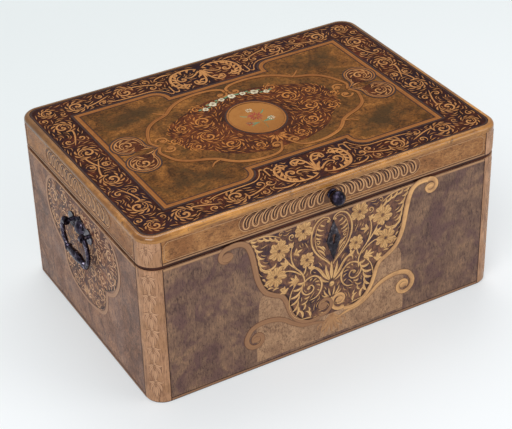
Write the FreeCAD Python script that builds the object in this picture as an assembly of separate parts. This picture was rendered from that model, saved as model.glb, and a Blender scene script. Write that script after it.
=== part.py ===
import FreeCAD, Part

import math
import os

# A marquetry casket: a veneered case with rounded corner posts, a shallow lid hinged at the
# back, two drop handles, a turned knob and a box lock. Millimetres. X runs along the front,
# -Y is the front, Z is up. The origin is the middle of the surface that the case stands on.

# Overall size
length = 420.0
width = 298.0
corner_radius = 20.0
base_height = 1.5
body_height = 161.0
band_height = 4.3
lid_gap = 0.2
lid_height = 33.0

# Timber, veneer and lining
board_thickness = 11.0
veneer_thickness = 1.2
bottom_thickness = 10.5
top_board_thickness = 8.4
lining_thickness = 0.6
base_setback = 1.0
band_setback = 1.4

# Moulding round the top of the lid, and the outline of the panel inside the dark border
moulding_width = 6.0
moulding_height = 6.0
moulding_round = 4.4
moulding_stand = 0.4
panel_half_length = 165.0
panel_half_width = 107.5
bracket_half_length = 56.0
bracket_half_width = 88.3

# Hinges on the back face
hinge_inset = 90.0
hinge_length = 46.0
hinge_leaf_height = 19.0
hinge_leaf_thickness = 1.5
hinge_pin_radius = 1.5
hinge_pin_overhang = 0.8
hinge_barrel_radius = 3.2
hinge_barrel_clearance = 0.3
hinge_knuckles = 5
hinge_knuckle_gap = 0.2
running_clearance = 0.05

# Wood screws
screw_head_radius = 2.7
screw_head_height = 1.3
screw_shank_radius = 1.3
screw_length = 9.0
screw_slot_width = 0.6
screw_slot_depth = 0.45
screw_edge = 6.0

# Lock, escutcheon and link plate
lock_offset = 2.0
key_drop = 6.5
keyhole_radius = 2.4
keyhole_slot_width = 2.6
keyhole_slot_drop = 9.5
escutcheon_width = 17.0
escutcheon_height = 49.0
escutcheon_thickness = 1.2
escutcheon_bevel = 0.45
escutcheon_pin_radius = 0.9
escutcheon_pin_head = 0.5
escutcheon_pin_clearance = 0.3
escutcheon_pin_inset = 5.5
lock_side_room = 5.3
lock_below_key = 13.5
lock_wood_left = 1.5
lock_sheet = 1.0
lock_plate_thickness = 1.5
lock_plate_margin = 5.0
lock_screw_inset = 2.8
lock_pin_radius = 1.2
bolt_travel = 6.0
bolt_thickness = 2.4
bolt_bar_height = 6.0
bolt_bar_overhang = 4.0
bolt_bar_drop = 21.5
bolt_play = 0.3
hook_drop = 6.5
hook_height = 4.5
hook_root_gap = 1.0
hook_arm = 4.0
hook_rest_gap = 0.6
stud_radius = 2.0
spring_thickness = 0.8
spring_width = 3.0
spring_drop = 6.5
spring_overlap = 8.7
link_spacing = 26.0
link_thickness = 2.2
link_width = 5.2
link_rim = 1.5
link_eye_play = 0.4
link_play = 0.6
link_swing_play = 0.8
link_plate_length = 52.0
link_plate_width = 7.6
link_plate_thickness = 1.5

# Knob on the lid
knob_drop = 5.5
knob_radius = 8.0
knob_stand_off = 11.0
knob_neck_radius = 3.2
knob_collar_radius = 5.6
knob_collar_thickness = 2.0
knob_bead_radius = 4.3
knob_shank_radius = 2.0
nut_radius = 4.4
nut_thickness = 3.0
nut_recess = 3.4

# Drop handles on the ends
handle_drop = 28.5
handle_post_spacing = 40.0
handle_plate_thickness = 1.6
handle_rosette_radius = 8.6
handle_plate_half_length = 23.0
handle_plate_half_height = 14.0
handle_boss_radius = 8.5
handle_boss_height = 5.4
post_eye_radius = 4.0
post_eye_width = 5.0
post_neck_radius = 2.3
post_shank_radius = 2.0
bail_pin_radius = 1.85
bail_pin_length = 5.4
bail_eye_gap = 0.4
bail_arm_radius = 2.5
bail_knuckle_radius = 3.3
bail_drop = 32.5
bail_bulge = 6.0
bail_grip_half_length = 20.0
bail_grip_radius = 3.0
bail_grip_swell = 4.4
bail_grip_clearance = 3.6
bail_bead_radius = 4.2
bail_bead_half_width = 1.6

# Places worked out from the sizes
half_length = length / 2
half_width = width / 2
wall = veneer_thickness + board_thickness
body_top = base_height + body_height
band_top = body_top + band_height
lid_bottom = band_top + lid_gap
lid_top = lid_bottom + lid_height
floor_top = bottom_thickness
veneer_top = lid_top - moulding_stand
top_board_top = veneer_top - veneer_thickness
rail_top = top_board_top - top_board_thickness
moulding_bottom = lid_top - moulding_height
hinge_offset = half_length - hinge_inset
hinge_axis_y = half_width + hinge_barrel_radius + hinge_barrel_clearance
hinge_axis_z = (body_top + lid_bottom) / 2
inner_front = -(half_width - wall)
lock_front = -(half_width - veneer_thickness - lock_wood_left)
lock_back = inner_front - lock_plate_thickness
lock_top = body_top - lock_plate_thickness
key_height = lock_top - bolt_bar_drop - key_drop
lock_bottom = key_height - lock_below_key
lock_middle_y = (lock_front + lock_sheet + lock_back) / 2
hook_reach = bolt_travel + hook_root_gap
bolt_half = link_spacing / 2 + link_thickness / 2 + hook_rest_gap + hook_reach + hook_arm
lock_half = bolt_half + lock_side_room + lock_sheet
spring_reach = lock_side_room + spring_overlap
knob_height = rail_top - knob_drop
handle_height = body_top - handle_drop
handle_stand_off = bail_grip_swell + bail_grip_clearance
sides = ("front", "back", "left", "right")
corners = (("front_left", -1, -1), ("front_right", 1, -1), ("back_left", -1, 1), ("back_right", 1, 1))


# Basic solids

def block(low, high):
    """A box between two opposite corners."""
    span = [b - a for a, b in zip(low, high)]
    return Part.makeBox(span[0], span[1], span[2], FreeCAD.Vector(*low))


def rod(start, direction, radius, reach):
    """A round bar from a point along a direction."""
    return Part.makeCylinder(radius, reach, FreeCAD.Vector(*start), FreeCAD.Vector(*direction))


def ball(centre, radius):
    """A sphere about a point."""
    return Part.makeSphere(radius, FreeCAD.Vector(*centre))


def cone(start, direction, start_radius, end_radius, reach):
    """A cone frustum from a point along a direction."""
    return Part.makeCone(start_radius, end_radius, reach, FreeCAD.Vector(*start), FreeCAD.Vector(*direction))


def prism(points, rise):
    """A straight-edged plate: its outline points, raised along a vector."""
    outline = [FreeCAD.Vector(*p) for p in points]
    return Part.Face(Part.makePolygon(outline + outline[:1])).extrude(FreeCAD.Vector(*rise))


def square_block(inset, bottom, top):
    """A block of the plan, drawn in from the outer faces, with square corners."""
    x, y = half_length - inset, half_width - inset
    return block((-x, -y, bottom), (x, y, top))


def rounded_block(inset, bottom, top):
    """A block of the plan, drawn in from the outer faces, with the corners' round drawn in as well."""
    solid = square_block(inset, bottom, top)
    upright = [e for e in solid.Edges if abs(e.Vertexes[0].Z - e.Vertexes[1].Z) > (top - bottom) / 2]
    return solid.makeFillet(corner_radius - inset, upright)


def side_board(side, outer, inner, ends, bottom, top):
    """A board along one face, between two depths below that face, its ends short of the corners."""
    sign = -1 if side in ("front", "left") else 1
    if side in ("front", "back"):
        x = half_length - ends
        y = sorted((sign * (half_width - outer), sign * (half_width - inner)))
        return block((-x, y[0], bottom), (x, y[1], top))
    y = half_width - ends
    x = sorted((sign * (half_length - outer), sign * (half_length - inner)))
    return block((x[0], -y, bottom), (x[1], y, top))


def mitred(ring, depth):
    """A ring round the plan, cut at 45 degrees in its corners into front, back, left and right pieces."""
    low, high = ring.BoundBox.ZMin, ring.BoundBox.ZMax
    x, y = half_length, half_width
    outlines = (
        ((-x, -y), (x, -y), (x - depth, depth - y), (depth - x, depth - y)),
        ((-x, y), (x, y), (x - depth, y - depth), (depth - x, y - depth)),
        ((-x, -y), (-x, y), (depth - x, y - depth), (depth - x, depth - y)),
        ((x, -y), (x, y), (x - depth, y - depth), (x - depth, depth - y)),
    )
    return [ring.common(prism([(a, b, low) for a, b in o], (0, 0, high - low))) for o in outlines]


def screw(point, direction):
    """A slotted countersunk wood screw, its head's face at the point, driven along the direction."""
    axis = FreeCAD.Vector(*direction)
    head = cone(point, direction, screw_head_radius, screw_shank_radius, screw_head_height)
    body = head.fuse(rod(point, direction, screw_shank_radius, screw_length))
    slot = Part.makeBox(
        2 * screw_head_radius, screw_slot_width, 2 * screw_slot_depth,
        FreeCAD.Vector(-screw_head_radius, -screw_slot_width / 2, -screw_slot_depth))
    slot.Placement = FreeCAD.Placement(
        FreeCAD.Vector(*point), FreeCAD.Rotation(FreeCAD.Vector(0, 0, 1), axis)).multiply(slot.Placement)
    return body.cut(slot)


def screw_hole(point, direction):
    """The room that a screw takes up in what it holds, with no slot."""
    head = cone(point, direction, screw_head_radius, screw_shank_radius, screw_head_height)
    return head.fuse(rod(point, direction, screw_shank_radius, screw_length))


def cut_all(solid, tools):
    """A solid with each tool's room taken out of it."""
    for tool in tools:
        solid = solid.cut(tool)
    return solid


def save(name, solids):
    """Writes one node: a single solid, or a group of separate ones."""
    found = [s for shape in solids for s in shape.Solids]
    shape = found[0] if len(found) == 1 else Part.makeCompound(found)
    shape.exportStep(os.path.join("parts", name + ".step"))


# Case

def corner_post(x_sign, y_sign, bottom, top):
    """A quarter-round upright that fills one corner as far in as the walls' inner faces."""
    centre = (x_sign * (half_length - corner_radius), y_sign * (half_width - corner_radius))
    x = sorted((centre[0], x_sign * half_length))
    y = sorted((centre[1], y_sign * half_width))
    quarter = rod((centre[0], centre[1], bottom), (0, 0, 1), corner_radius, top - bottom)
    quarter = quarter.common(block((x[0], y[0], bottom), (x[1], y[1], top)))
    return quarter.cut(square_block(wall, bottom, top))


def base_strip():
    """The ebonised strip under the walls, set back a little from their faces, flush with the bottom board."""
    ring = rounded_block(base_setback, 0, base_height)
    ring = ring.cut(square_block(wall, 0, base_height))
    return mitred(ring, wall)


def rim_band(slots):
    """The dark strip on top of the walls, which the lid closes on, cut for the lock's links."""
    ring = rounded_block(band_setback, body_top, band_top)
    ring = ring.cut(square_block(wall, body_top, band_top))
    return [cut_all(piece, slots) for piece in mitred(ring, wall)]


def lining_walls():
    """Paper on the four inner faces, with a window round the lock's plate."""
    inner = wall + lining_thickness
    bottom = floor_top + lining_thickness
    sheets = [side_board(side, wall, inner, wall if side in ("front", "back") else inner, bottom, body_top)
              for side in sides]
    reach = lock_half + lock_plate_margin + bolt_play
    window = block(
        (lock_offset - reach, inner_front, lock_bottom - lock_plate_margin - bolt_play),
        (lock_offset + reach, inner_front + lining_thickness, body_top))
    return [sheets[0].cut(window)] + sheets[1:]


def build_case():
    """The case's timber, veneer and lining, with the room cut for its hardware."""
    save("base_strip", base_strip())
    save("bottom_board", [square_block(wall, 0, floor_top)])
    holes = {side: [] for side in sides}
    holes["front"] = lock_room() + [keyhole(-half_width, lock_front)]
    holes["front"] += [screw_hole(*place) for place in lock_screw_places()]
    holes["front"] += [escutcheon_pin(z) for z in escutcheon_pin_heights()]
    holes["back"] = [screw_hole(*place) for place in hinge_screw_places(-1)]
    holes["left"] = handle_room(-1)
    holes["right"] = handle_room(1)
    for side in sides:
        board = side_board(side, veneer_thickness, wall, corner_radius, base_height, body_top)
        skin = side_board(side, 0, veneer_thickness, corner_radius, base_height, body_top)
        save(side + "_board", [cut_all(board, holes[side])])
        save(side + "_veneer", [cut_all(skin, holes[side])])
    for name, x_sign, y_sign in corners:
        save("corner_post_" + name, [corner_post(x_sign, y_sign, base_height, body_top)])
    save("rim_band", rim_band(link_slots()))
    save("lining_floor", [square_block(wall, floor_top, floor_top + lining_thickness)])
    save("lining_walls", lining_walls())


# Lid

def lid_corner(x_sign, y_sign):
    """A quarter-round corner of the lid, which reaches up round the top board to the moulding."""
    lower = corner_post(x_sign, y_sign, lid_bottom, rail_top)
    centre = (x_sign * (half_length - corner_radius), y_sign * (half_width - corner_radius), rail_top)
    x = sorted((centre[0], x_sign * half_length))
    y = sorted((centre[1], y_sign * half_width))
    collar = rod(centre, (0, 0, 1), corner_radius, moulding_bottom - rail_top)
    collar = collar.cut(rod(centre, (0, 0, 1), corner_radius - veneer_thickness, moulding_bottom - rail_top))
    collar = collar.common(block((x[0], y[0], rail_top), (x[1], y[1], moulding_bottom)))
    return lower.fuse(collar).removeSplitter()


def top_board():
    """The lid's top board, rebated round its edge for the moulding."""
    lower = rounded_block(veneer_thickness, rail_top, moulding_bottom)
    upper = rounded_block(moulding_width, moulding_bottom, top_board_top)
    return lower.fuse(upper).removeSplitter()


def lid_moulding():
    """The light ovolo moulding along the lid's top edge, mitred at the corners."""
    outer = rounded_block(0, moulding_bottom, lid_top)
    rim = [e for e in outer.Edges if min(v.Z for v in e.Vertexes) > lid_top - moulding_height / 2]
    ring = outer.makeFillet(min(moulding_round, moulding_height), rim)
    ring = ring.cut(rounded_block(moulding_width, moulding_bottom, lid_top))
    return mitred(ring, corner_radius)


def panel_outline():
    """The panel's edge: a rectangle whose long sides step in behind rounded brackets at mid-length."""
    corner_x, corner_y = panel_half_length, panel_half_width
    step_x, step_y = bracket_half_length, bracket_half_width
    radius = corner_y - step_y
    bend = radius * (1 - math.sqrt(0.5))
    z = top_board_top

    def point(x, y):
        return FreeCAD.Vector(x, y, z)

    edges = []
    for y_sign in (-1, 1):
        near = [(-corner_x, corner_y), (-step_x - radius, corner_y), (-step_x - bend, corner_y - bend),
                (-step_x, step_y), (step_x, step_y), (step_x + bend, corner_y - bend),
                (step_x + radius, corner_y), (corner_x, corner_y)]
        p = [point(x, y_sign * y) for x, y in near]
        edges += [Part.makeLine(p[0], p[1]), Part.Arc(p[1], p[2], p[3]).toShape(), Part.makeLine(p[3], p[4]),
                  Part.Arc(p[4], p[5], p[6]).toShape(), Part.makeLine(p[6], p[7])]
    for x_sign in (-1, 1):
        edges.append(Part.makeLine(point(x_sign * corner_x, -corner_y), point(x_sign * corner_x, corner_y)))
    return Part.Wire(Part.__sortEdges__(edges))


def build_lid():
    """The lid's timber, moulding, veneer and lining, with the room cut for its hardware."""
    holes = {side: [] for side in sides}
    holes["front"] = [knob_room(), link_plate_room()] + [screw_hole(*place) for place in link_screw_places()]
    holes["back"] = [screw_hole(*place) for place in hinge_screw_places(1)]
    for side in sides:
        rail = side_board(side, veneer_thickness, wall, corner_radius, lid_bottom, rail_top)
        skin = side_board(side, 0, veneer_thickness, corner_radius, lid_bottom, moulding_bottom)
        save("lid_" + side + "_rail", [cut_all(rail, holes[side])])
        save("lid_" + side + "_veneer", [cut_all(skin, holes[side])])
    for name, x_sign, y_sign in corners:
        save("lid_corner_" + name, [lid_corner(x_sign, y_sign)])
    save("lid_top_board", [top_board()])
    save("lid_moulding", lid_moulding())
    panel = Part.Face(panel_outline()).extrude(FreeCAD.Vector(0, 0, veneer_thickness))
    save("lid_panel_veneer", [panel])
    save("lid_border_veneer", [rounded_block(moulding_width, top_board_top, veneer_top).cut(panel)])
    inner = wall + lining_thickness
    ceiling = square_block(wall, rail_top - lining_thickness, rail_top)
    sheets = [side_board(side, wall, inner, wall if side in ("front", "back") else inner,
                         lid_bottom, rail_top - lining_thickness) for side in sides]
    save("lid_lining", [ceiling] + sheets)


# Hinges

def hinge_screw_places(up):
    """Where the screws of both hinges' leaves go: up is 1 for the lid's leaves and -1 for the case's."""
    reach = hinge_length / 2 - screw_edge
    middle = hinge_barrel_radius + (hinge_leaf_height - hinge_barrel_radius) / 2
    face = half_width + hinge_leaf_thickness
    return [((sign * hinge_offset + step * reach, face, hinge_axis_z + up * middle), (0, -1, 0))
            for sign in (-1, 1) for step in (-1, 0, 1)]


def hinge_leaf(centre, up):
    """One leaf: a plate on the back face with its share of the knuckles rolled round the pin."""
    start = centre - hinge_length / 2
    pitch = (hinge_length + hinge_knuckle_gap) / hinge_knuckles
    relief = hinge_barrel_radius + hinge_barrel_clearance
    levels = sorted((hinge_axis_z + up * relief, hinge_axis_z + up * hinge_leaf_height))
    back = half_width + hinge_leaf_thickness
    leaf = block((start, half_width, levels[0]), (start + hinge_length, back, levels[1]))
    first = 0 if up < 0 else 1
    web = sorted((hinge_axis_z, hinge_axis_z + up * relief))
    for number in range(first, hinge_knuckles, 2):
        left = start + number * pitch
        right = left + pitch - hinge_knuckle_gap
        leaf = leaf.fuse(block((left, half_width, web[0]), (right, back, web[1])))
        barrel_end = (left, hinge_axis_y, hinge_axis_z)
        leaf = leaf.fuse(rod(barrel_end, (1, 0, 0), hinge_barrel_radius, right - left))
    bore_end = (start, hinge_axis_y, hinge_axis_z)
    bore = rod(bore_end, (1, 0, 0), hinge_pin_radius + running_clearance, hinge_length)
    leaf = leaf.cut(bore).removeSplitter()
    return cut_all(leaf, [screw_hole(*place) for place in hinge_screw_places(up)])


def build_hinges():
    """Two butt hinges on the back face, each with a case leaf, a lid leaf and a pin."""
    for name, sign in (("left", -1), ("right", 1)):
        save("hinge_leaf_case_" + name, [hinge_leaf(sign * hinge_offset, -1)])
        save("hinge_leaf_lid_" + name, [hinge_leaf(sign * hinge_offset, 1)])
    reach = hinge_length / 2 + hinge_pin_overhang
    save("hinge_pins", [rod((sign * hinge_offset - reach, hinge_axis_y, hinge_axis_z), (1, 0, 0),
                            hinge_pin_radius, 2 * reach) for sign in (-1, 1)])
    save("hinge_screws_case", [screw(*place) for place in hinge_screw_places(-1)])
    save("hinge_screws_lid", [screw(*place) for place in hinge_screw_places(1)])


# Lock

def keyhole(front, back):
    """The keyhole's room between two depths: a round for the shank over a slot for the bit."""
    reach = back - front
    hole = rod((lock_offset, front, key_height), (0, 1, 0), keyhole_radius, reach)
    half = keyhole_slot_width / 2
    return hole.fuse(block((lock_offset - half, front, key_height - keyhole_slot_drop),
                           (lock_offset + half, back, key_height)))


def lock_room():
    """The mortise in the front board: the case's pocket, and the shallower one for its plate."""
    wide = lock_half + lock_plate_margin
    pocket = block((lock_offset - lock_half, lock_front, lock_bottom),
                   (lock_offset + lock_half, inner_front, body_top))
    plate = block((lock_offset - wide, lock_back, lock_bottom - lock_plate_margin),
                  (lock_offset + wide, inner_front, body_top))
    selvedge = block((lock_offset - wide, lock_front, lock_top), (lock_offset + wide, inner_front, body_top))
    return [pocket, plate, selvedge]


def lock_screw_places():
    """The four corners of the lock's plate, screwed from inside the case."""
    reach = lock_half + lock_plate_margin - lock_screw_inset
    low = lock_bottom - lock_plate_margin + lock_screw_inset
    high = lock_top - screw_edge
    return [((lock_offset + sign * reach, inner_front, z), (0, -1, 0))
            for sign in (-1, 1) for z in (low, high)]


def link_places():
    """The x of the two links that hang from the lid into the lock."""
    return [lock_offset - link_spacing / 2, lock_offset + link_spacing / 2]


def link_slots():
    """The room above the lock that the links pass through, with play for the lid's swing."""
    half_x = link_thickness / 2 + link_play
    half_y = link_width / 2 + link_swing_play
    front, back = lock_middle_y - half_y, lock_middle_y + half_y
    return [block((x - half_x, front, lock_top), (x + half_x, back, band_top)) for x in link_places()]


def lock_case():
    """The lock's tray: a front sheet with the keyhole, three edges, and two studs that carry the bolt."""
    inner = lock_half - lock_sheet
    outer = block((lock_offset - lock_half, lock_front, lock_bottom),
                  (lock_offset + lock_half, lock_back, lock_top))
    room = block((lock_offset - inner, lock_front + lock_sheet, lock_bottom + lock_sheet),
                 (lock_offset + inner, lock_back, lock_top))
    tray = outer.cut(room).cut(keyhole(lock_front, lock_front + lock_sheet))
    bar_bottom = lock_top - bolt_bar_drop
    for x in link_places():
        centre = (x + hook_arm / 2, lock_front + lock_sheet, bar_bottom - bolt_play - stud_radius)
        tray = tray.fuse(rod(centre, (0, 1, 0), stud_radius, lock_back - lock_front - lock_sheet))
    return tray.removeSplitter()


def lock_plate():
    """The plate on the lock's inner side, folded over its top, with the pin that the key turns on."""
    wide = lock_half + lock_plate_margin
    plate = block((lock_offset - wide, lock_back, lock_bottom - lock_plate_margin),
                  (lock_offset + wide, inner_front, body_top))
    selvedge = block((lock_offset - wide, lock_front, lock_top), (lock_offset + wide, lock_back, body_top))
    pin_reach = lock_back - lock_front - lock_sheet
    pin = rod((lock_offset, lock_back, key_height), (0, -1, 0), lock_pin_radius, pin_reach)
    plate = plate.fuse(selvedge).fuse(pin).removeSplitter()
    return cut_all(plate, link_slots() + [screw_hole(*place) for place in lock_screw_places()])


def lock_bolt():
    """The sliding bolt, drawn back: a bar with two arms, whose hooks go through the links' eyes."""
    low_y = lock_middle_y - bolt_thickness / 2
    high_y = lock_middle_y + bolt_thickness / 2
    bar_bottom = lock_top - bolt_bar_drop
    hook_top = lock_top - hook_drop
    pieces = []
    for x in link_places():
        tip = x - link_thickness / 2 - hook_rest_gap
        root = tip - hook_reach
        pieces.append(block((root - hook_arm, low_y, bar_bottom), (root, high_y, hook_top)))
        pieces.append(block((root - hook_arm, low_y, hook_top - hook_height), (tip, high_y, hook_top)))
    left = pieces[0].BoundBox.XMin
    right = pieces[2].BoundBox.XMax + bolt_bar_overhang
    bar = block((left, low_y, bar_bottom), (right, high_y, bar_bottom + bolt_bar_height))
    return bar.multiFuse(pieces).removeSplitter()


def lock_spring():
    """A leaf spring from the tray's edge up to the bolt, which keeps the bolt where the key leaves it."""
    start = lock_offset - lock_half + lock_sheet
    top = lock_top - bolt_bar_drop - bolt_play
    low_y = lock_middle_y - spring_width / 2
    outline = [(start, low_y, top - spring_drop), (start + spring_reach, low_y, top - spring_thickness),
               (start + spring_reach, low_y, top), (start, low_y, top - spring_drop + spring_thickness)]
    return prism(outline, (0, spring_width, 0))


def link_plate_room():
    """The pocket for the link plate in the underside of the lid's front rail."""
    half = link_plate_length / 2
    low_y = lock_middle_y - link_plate_width / 2
    return block((lock_offset - half, low_y, lid_bottom),
                 (lock_offset + half, low_y + link_plate_width, lid_bottom + link_plate_thickness))


def link_screw_places():
    """The screws at the two ends of the link plate, driven up into the rail."""
    reach = link_plate_length / 2 - screw_head_radius - link_rim
    return [((lock_offset + sign * reach, lock_middle_y, lid_bottom), (0, 0, 1)) for sign in (-1, 1)]


def link_plate():
    """The lid's half of the lock: a plate with two hanging links, each pierced along X for a hook."""
    plate = link_plate_room()
    eye_top = lock_top - hook_drop + link_eye_play
    eye_bottom = lock_top - hook_drop - hook_height - link_eye_play
    eye_half = bolt_thickness / 2 + bolt_play
    half_x, half_y = link_thickness / 2, link_width / 2
    for x in link_places():
        link = block((x - half_x, lock_middle_y - half_y, eye_bottom - link_rim),
                     (x + half_x, lock_middle_y + half_y, lid_bottom))
        eye = block((x - half_x, lock_middle_y - eye_half, eye_bottom),
                    (x + half_x, lock_middle_y + eye_half, eye_top))
        plate = plate.fuse(link.cut(eye))
    return cut_all(plate.removeSplitter(), [screw_hole(*place) for place in link_screw_places()])


def escutcheon():
    """The long steel lozenge round the keyhole, bevelled along its edges."""
    x, z = escutcheon_width / 2, escutcheon_height / 2
    middle = key_height - keyhole_slot_drop / 2
    outline = [(lock_offset - x, -half_width, middle), (lock_offset, -half_width, middle + z),
               (lock_offset + x, -half_width, middle), (lock_offset, -half_width, middle - z)]
    plate = prism(outline, (0, -escutcheon_thickness, 0))
    front = -half_width - escutcheon_thickness
    rim = [e for e in plate.Edges if max(v.Y for v in e.Vertexes) < front + escutcheon_thickness / 2]
    plate = plate.makeChamfer(min(escutcheon_bevel, escutcheon_thickness / 2), rim)
    pins = [escutcheon_pin(z) for z in escutcheon_pin_heights()]
    return cut_all(plate.cut(keyhole(front, -half_width)), pins)


def escutcheon_pin_heights():
    """The heights of the pins near the lozenge's upper and lower points."""
    middle = key_height - keyhole_slot_drop / 2
    reach = escutcheon_height / 2 - escutcheon_pin_inset
    return [middle - reach, middle + reach]


def escutcheon_pin(z):
    """A steel pin with a flat head that stands a little proud of the lozenge."""
    front = -half_width - escutcheon_thickness
    reach = lock_front - front - escutcheon_pin_clearance
    start = (lock_offset, front - escutcheon_pin_head / 2, z)
    head = rod(start, (0, 1, 0), escutcheon_pin_radius, escutcheon_pin_head)
    return head.fuse(rod((lock_offset, front, z), (0, 1, 0), escutcheon_pin_radius / 2, reach))


def build_lock():
    """The box lock in the front board, its links on the lid, and the escutcheon outside."""
    save("lock_case", [lock_case()])
    save("lock_plate", [lock_plate()])
    save("lock_bolt", [lock_bolt()])
    save("lock_spring", [lock_spring()])
    save("lock_screws", [screw(*place) for place in lock_screw_places()])
    save("link_plate", [link_plate()])
    save("link_screws", [screw(*place) for place in link_screw_places()])
    save("escutcheon", [escutcheon()])
    save("escutcheon_pins", [escutcheon_pin(z) for z in escutcheon_pin_heights()])


# Knob

def knob_room():
    """The hole for the knob's shank through the rail and the veneer, with a recess for its nut."""
    reach = half_width + inner_front
    hole = rod((0, -half_width, knob_height), (0, 1, 0), knob_shank_radius, reach)
    return hole.fuse(rod((0, inner_front, knob_height), (0, -1, 0), nut_radius, nut_recess))


def turned(profile, point, direction):
    """A solid turned about a line: the profile's (along, radius) points, closed on the axis."""
    ends = [(profile[0][0], 0)] + list(profile) + [(profile[-1][0], 0)]
    points = [FreeCAD.Vector(r, 0, a) for a, r in ends]
    face = Part.Face(Part.makePolygon(points + points[:1]))
    solid = face.revolve(FreeCAD.Vector(0, 0, 0), FreeCAD.Vector(0, 0, 1), 360)
    solid.Placement = FreeCAD.Placement(
        FreeCAD.Vector(*point), FreeCAD.Rotation(FreeCAD.Vector(0, 0, 1), FreeCAD.Vector(*direction)))
    return solid


def knob():
    """A turned knob: collar, neck, bead and ball on one shank."""
    face = (0, -half_width, knob_height)
    collar = turned([(0, knob_collar_radius), (knob_collar_thickness / 2, knob_collar_radius),
                     (knob_collar_thickness, knob_bead_radius)], face, (0, -1, 0))
    neck = rod(face, (0, -1, 0), knob_neck_radius, knob_stand_off)
    head = ball((0, -half_width - knob_stand_off, knob_height), knob_radius)
    reach = half_width + inner_front
    shank = rod(face, (0, 1, 0), knob_shank_radius, reach)
    return collar.multiFuse([neck, head, shank]).removeSplitter()


def hexagon_nut(point, direction, bore_radius):
    """A six-sided nut from a point along a direction."""
    angles = [math.radians(60 * n) for n in range(6)]
    outline = [(nut_radius * math.cos(a), nut_radius * math.sin(a), 0) for a in angles]
    nut = prism(outline, (0, 0, nut_thickness))
    nut = nut.cut(rod((0, 0, 0), (0, 0, 1), bore_radius, nut_thickness))
    nut.Placement = FreeCAD.Placement(
        FreeCAD.Vector(*point), FreeCAD.Rotation(FreeCAD.Vector(0, 0, 1), FreeCAD.Vector(*direction)))
    return nut


def build_knob():
    """The knob and the nut that holds it from inside the rail."""
    save("knob", [knob()])
    save("knob_nut", [hexagon_nut((0, inner_front - nut_recess, knob_height), (0, 1, 0), knob_shank_radius)])


# Handles

def post_ys():
    """The y of a handle's two posts."""
    return (-handle_post_spacing / 2, handle_post_spacing / 2)


def handle_room(sign):
    """The holes for a handle's posts through one end, with a recess for each nut inside."""
    face = sign * half_length
    inner = sign * (half_length - wall)
    return [rod((face, y, handle_height), (-sign, 0, 0), post_shank_radius, wall) for y in post_ys()] + \
        [rod((inner, y, handle_height), (sign, 0, 0), nut_radius, nut_recess) for y in post_ys()]


def handle_plate(sign):
    """The iron backplate: a rosette round each post, joined by a lozenge with a domed boss."""
    face = sign * half_length
    places = [(face, y, handle_height) for y in post_ys()]
    rosettes = [rod(place, (sign, 0, 0), handle_rosette_radius, handle_plate_thickness) for place in places]
    holes = [rod(place, (sign, 0, 0), post_shank_radius, handle_plate_thickness) for place in places]
    y, z = handle_plate_half_length, handle_plate_half_height
    lozenge = prism([(face, -y, handle_height), (face, 0, handle_height + z), (face, y, handle_height),
                     (face, 0, handle_height - z)], (sign * handle_plate_thickness, 0, 0))
    cap = (handle_boss_radius ** 2 + handle_boss_height ** 2) / (2 * handle_boss_height)
    depth = handle_boss_height + handle_plate_thickness / 2
    crown = face + sign * (handle_plate_thickness + handle_boss_height)
    centre = FreeCAD.Vector(crown - sign * cap, 0, handle_height)
    latitude = math.degrees(math.asin((cap - depth) / cap))
    dome = Part.makeSphere(cap, centre, FreeCAD.Vector(sign, 0, 0), latitude, 90)
    return cut_all(lozenge.multiFuse(rosettes + [dome]).removeSplitter(), holes)


def handle_post(sign, y):
    """A post with an eye for the bail's pin: shank through the wall, neck, and a round eye across it."""
    face = sign * half_length
    outer = face + sign * handle_plate_thickness
    axis = face + sign * handle_stand_off
    inner = sign * (half_length - wall)
    post = rod((inner, y, handle_height), (sign, 0, 0), post_shank_radius, abs(outer - inner))
    post = post.fuse(rod((outer, y, handle_height), (sign, 0, 0), post_neck_radius, abs(axis - outer)))
    low = y - post_eye_width / 2
    post = post.fuse(rod((axis, low, handle_height), (0, 1, 0), post_eye_radius, post_eye_width))
    bore = rod((axis, y - post_eye_radius, handle_height), (0, 1, 0), bail_pin_radius + running_clearance,
               2 * post_eye_radius)
    return post.cut(bore).removeSplitter()


def bail():
    """The drop handle hanging straight down from the origin, with its pivot along Y.

    A pin turns in from the top of each arm. The arms bow outwards in arcs to a turned grip, which
    swells at its middle and has a bead at each end.
    """
    arm_top = handle_post_spacing / 2 + post_eye_width / 2 + bail_eye_gap + bail_arm_radius
    grip_z = -bail_drop
    grip_end = bail_grip_half_length
    pieces = []
    for sign in (-1, 1):
        pin_reach = bail_pin_length + bail_arm_radius
        pieces.append(rod((0, sign * arm_top, 0), (0, -sign, 0), bail_pin_radius, pin_reach))
        start = FreeCAD.Vector(0, sign * arm_top, 0)
        middle = FreeCAD.Vector(0, sign * (arm_top + bail_bulge), grip_z / 2)
        elbow = FreeCAD.Vector(0, sign * (grip_end + bail_knuckle_radius), grip_z)
        path = Part.Wire([Part.Arc(start, middle, elbow).toShape()])
        heading = path.Edges[0].tangentAt(path.Edges[0].FirstParameter)
        section = Part.Wire([Part.makeCircle(bail_arm_radius, start, heading)])
        pieces.append(path.makePipeShell([section], True, False))
        pieces.append(ball((0, sign * arm_top, 0), bail_arm_radius))
        pieces.append(ball(tuple(elbow), bail_knuckle_radius))
    bead = bail_bead_half_width
    left = [(-grip_end - bead, bail_grip_radius), (-grip_end, bail_bead_radius),
            (-grip_end + bead, bail_grip_radius), (-grip_end / 2, (bail_grip_radius + bail_grip_swell) / 2),
            (-grip_end / 4, bail_grip_swell)]
    profile = left + [(-along, radius) for along, radius in reversed(left)]
    grip = turned(profile, (0, 0, grip_z), (0, 1, 0))
    return grip.multiFuse(pieces).removeSplitter()


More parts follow.
